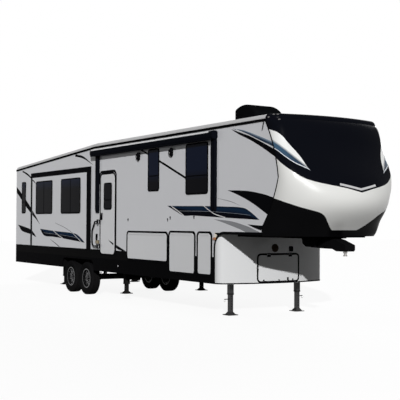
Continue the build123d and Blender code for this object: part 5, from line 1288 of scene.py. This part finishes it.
fit("bumper_caps", "blackTrim", *[(bumperCap, axes, place) for axes, place in zip(wallAxes.values(), bumperPlaces)])
flange = latheShell(((0, 0), (0.036, 0), (0.036, 0.004), (0.024, 0.010), (0, 0.010)), 20)
feet = [(flange, backwards, *[(rearX, y, rear["ladderFoot"]) for y in rear["ladderY"]])]
for y in rear["ladderY"]:
    for z in rear["ladderZ"]:
        standoff = barShell(((rearX + 0.002, y, z), (rear["ladderX"], y, z)), 0.010, (0, 0, 1))
        feet += [(flange, backwards, (rearX, y, z)), (standoff, upwards, (0, 0, 0))]
fit("ladder_standoffs", "blackTube", *feet, slotName="black_tube")

# Roof: louvres and gasket of the air conditioner, flanges, lids and screws of the vents
louvres = {"fromX": 3.345, "toX": 3.600, "y": 0.325, "low": 3.665, "pitch": 0.028, "rows": 8, "backX": 3.2425,
           "backY": (-0.20, 0.20), "section": ((-0.008, -0.002), (-0.006, 0.007), (0.003, 0.004), (0.005, -0.002))}
slatLevels = [louvres["low"] + row * louvres["pitch"] for row in range(louvres["rows"])]
slats = [sideStrip(((louvres["fromX"], z), (louvres["toX"], z)), louvres["section"], side, louvres["y"])
         for side in (-1, 1) for z in slatLevels]
slats += [barShell([(louvres["backX"], y, z) for y in louvres["backY"]], 0.0055, (0, 0, 1), 6) for z in slatLevels]
makePiece("shroud_louvres", slats, "shroudPlastic", slotName="shroud_black")
gasket = ringShell(0.800, 0.650, 0.105, ((-0.01, 0.0), (0.008, 0.0), (0.006, 0.016), (-0.01, 0.018)), 9)
fit("shroud_gasket", "sealRubber", (gasket, upwards, (3.640, 0.0, 3.6005)), slotName="shroud_black")
# The rear part of the roof falls by fallDepth over fallLength
vent = {"fallDepth": 0.300, "fallLength": 5.260, "onFall": 3.000, "onLevel": 7.400, "levelZ": 3.600, "lidRise": 0.109,
        "screwRise": 0.0055, "screwX": (-0.225, 0.0, 0.225), "screwY": (-0.225, 0.225)}
fallShare = (vent["fallLength"] - vent["onFall"]) / vent["fallLength"]
fallTilt = math.atan2(vent["fallDepth"], vent["fallLength"])
flange, lid = plateShell(0.480, 0.480, 0.050, 0.006), plateShell(0.300, 0.300, 0.040, 0.006, 0.004)
ventParts = []
for x, z, tilt in ((station(vent["onFall"]), vent["levelZ"] - vent["fallDepth"] * fallShare, fallTilt),
                   (station(vent["onLevel"]), vent["levelZ"], 0.0)):
    cosine, sine = math.cos(tilt), math.sin(tilt)
    axes = ((cosine, 0, sine), (0, 1, 0), (-sine, 0, cosine))
    screws = [(x + u * cosine - vent["screwRise"] * sine, v, z + u * sine + vent["screwRise"])
              for u in vent["screwX"] for v in vent["screwY"]]
    ventParts += [(flange, axes, (x, 0.0, z)),
                  (lid, axes, (x - vent["lidRise"] * sine, 0.0, z + vent["lidRise"] * cosine)),
                  (domeShell(0.008, 0.004, 8), axes, *screws)]
fit("vent_flanges", "ventPlastic", *ventParts, slotName="vent_white")
print("stage: rear and roof fittings")

makeCamera()
makeLight()
makeFloor()
print("stage: camera, light and floor")
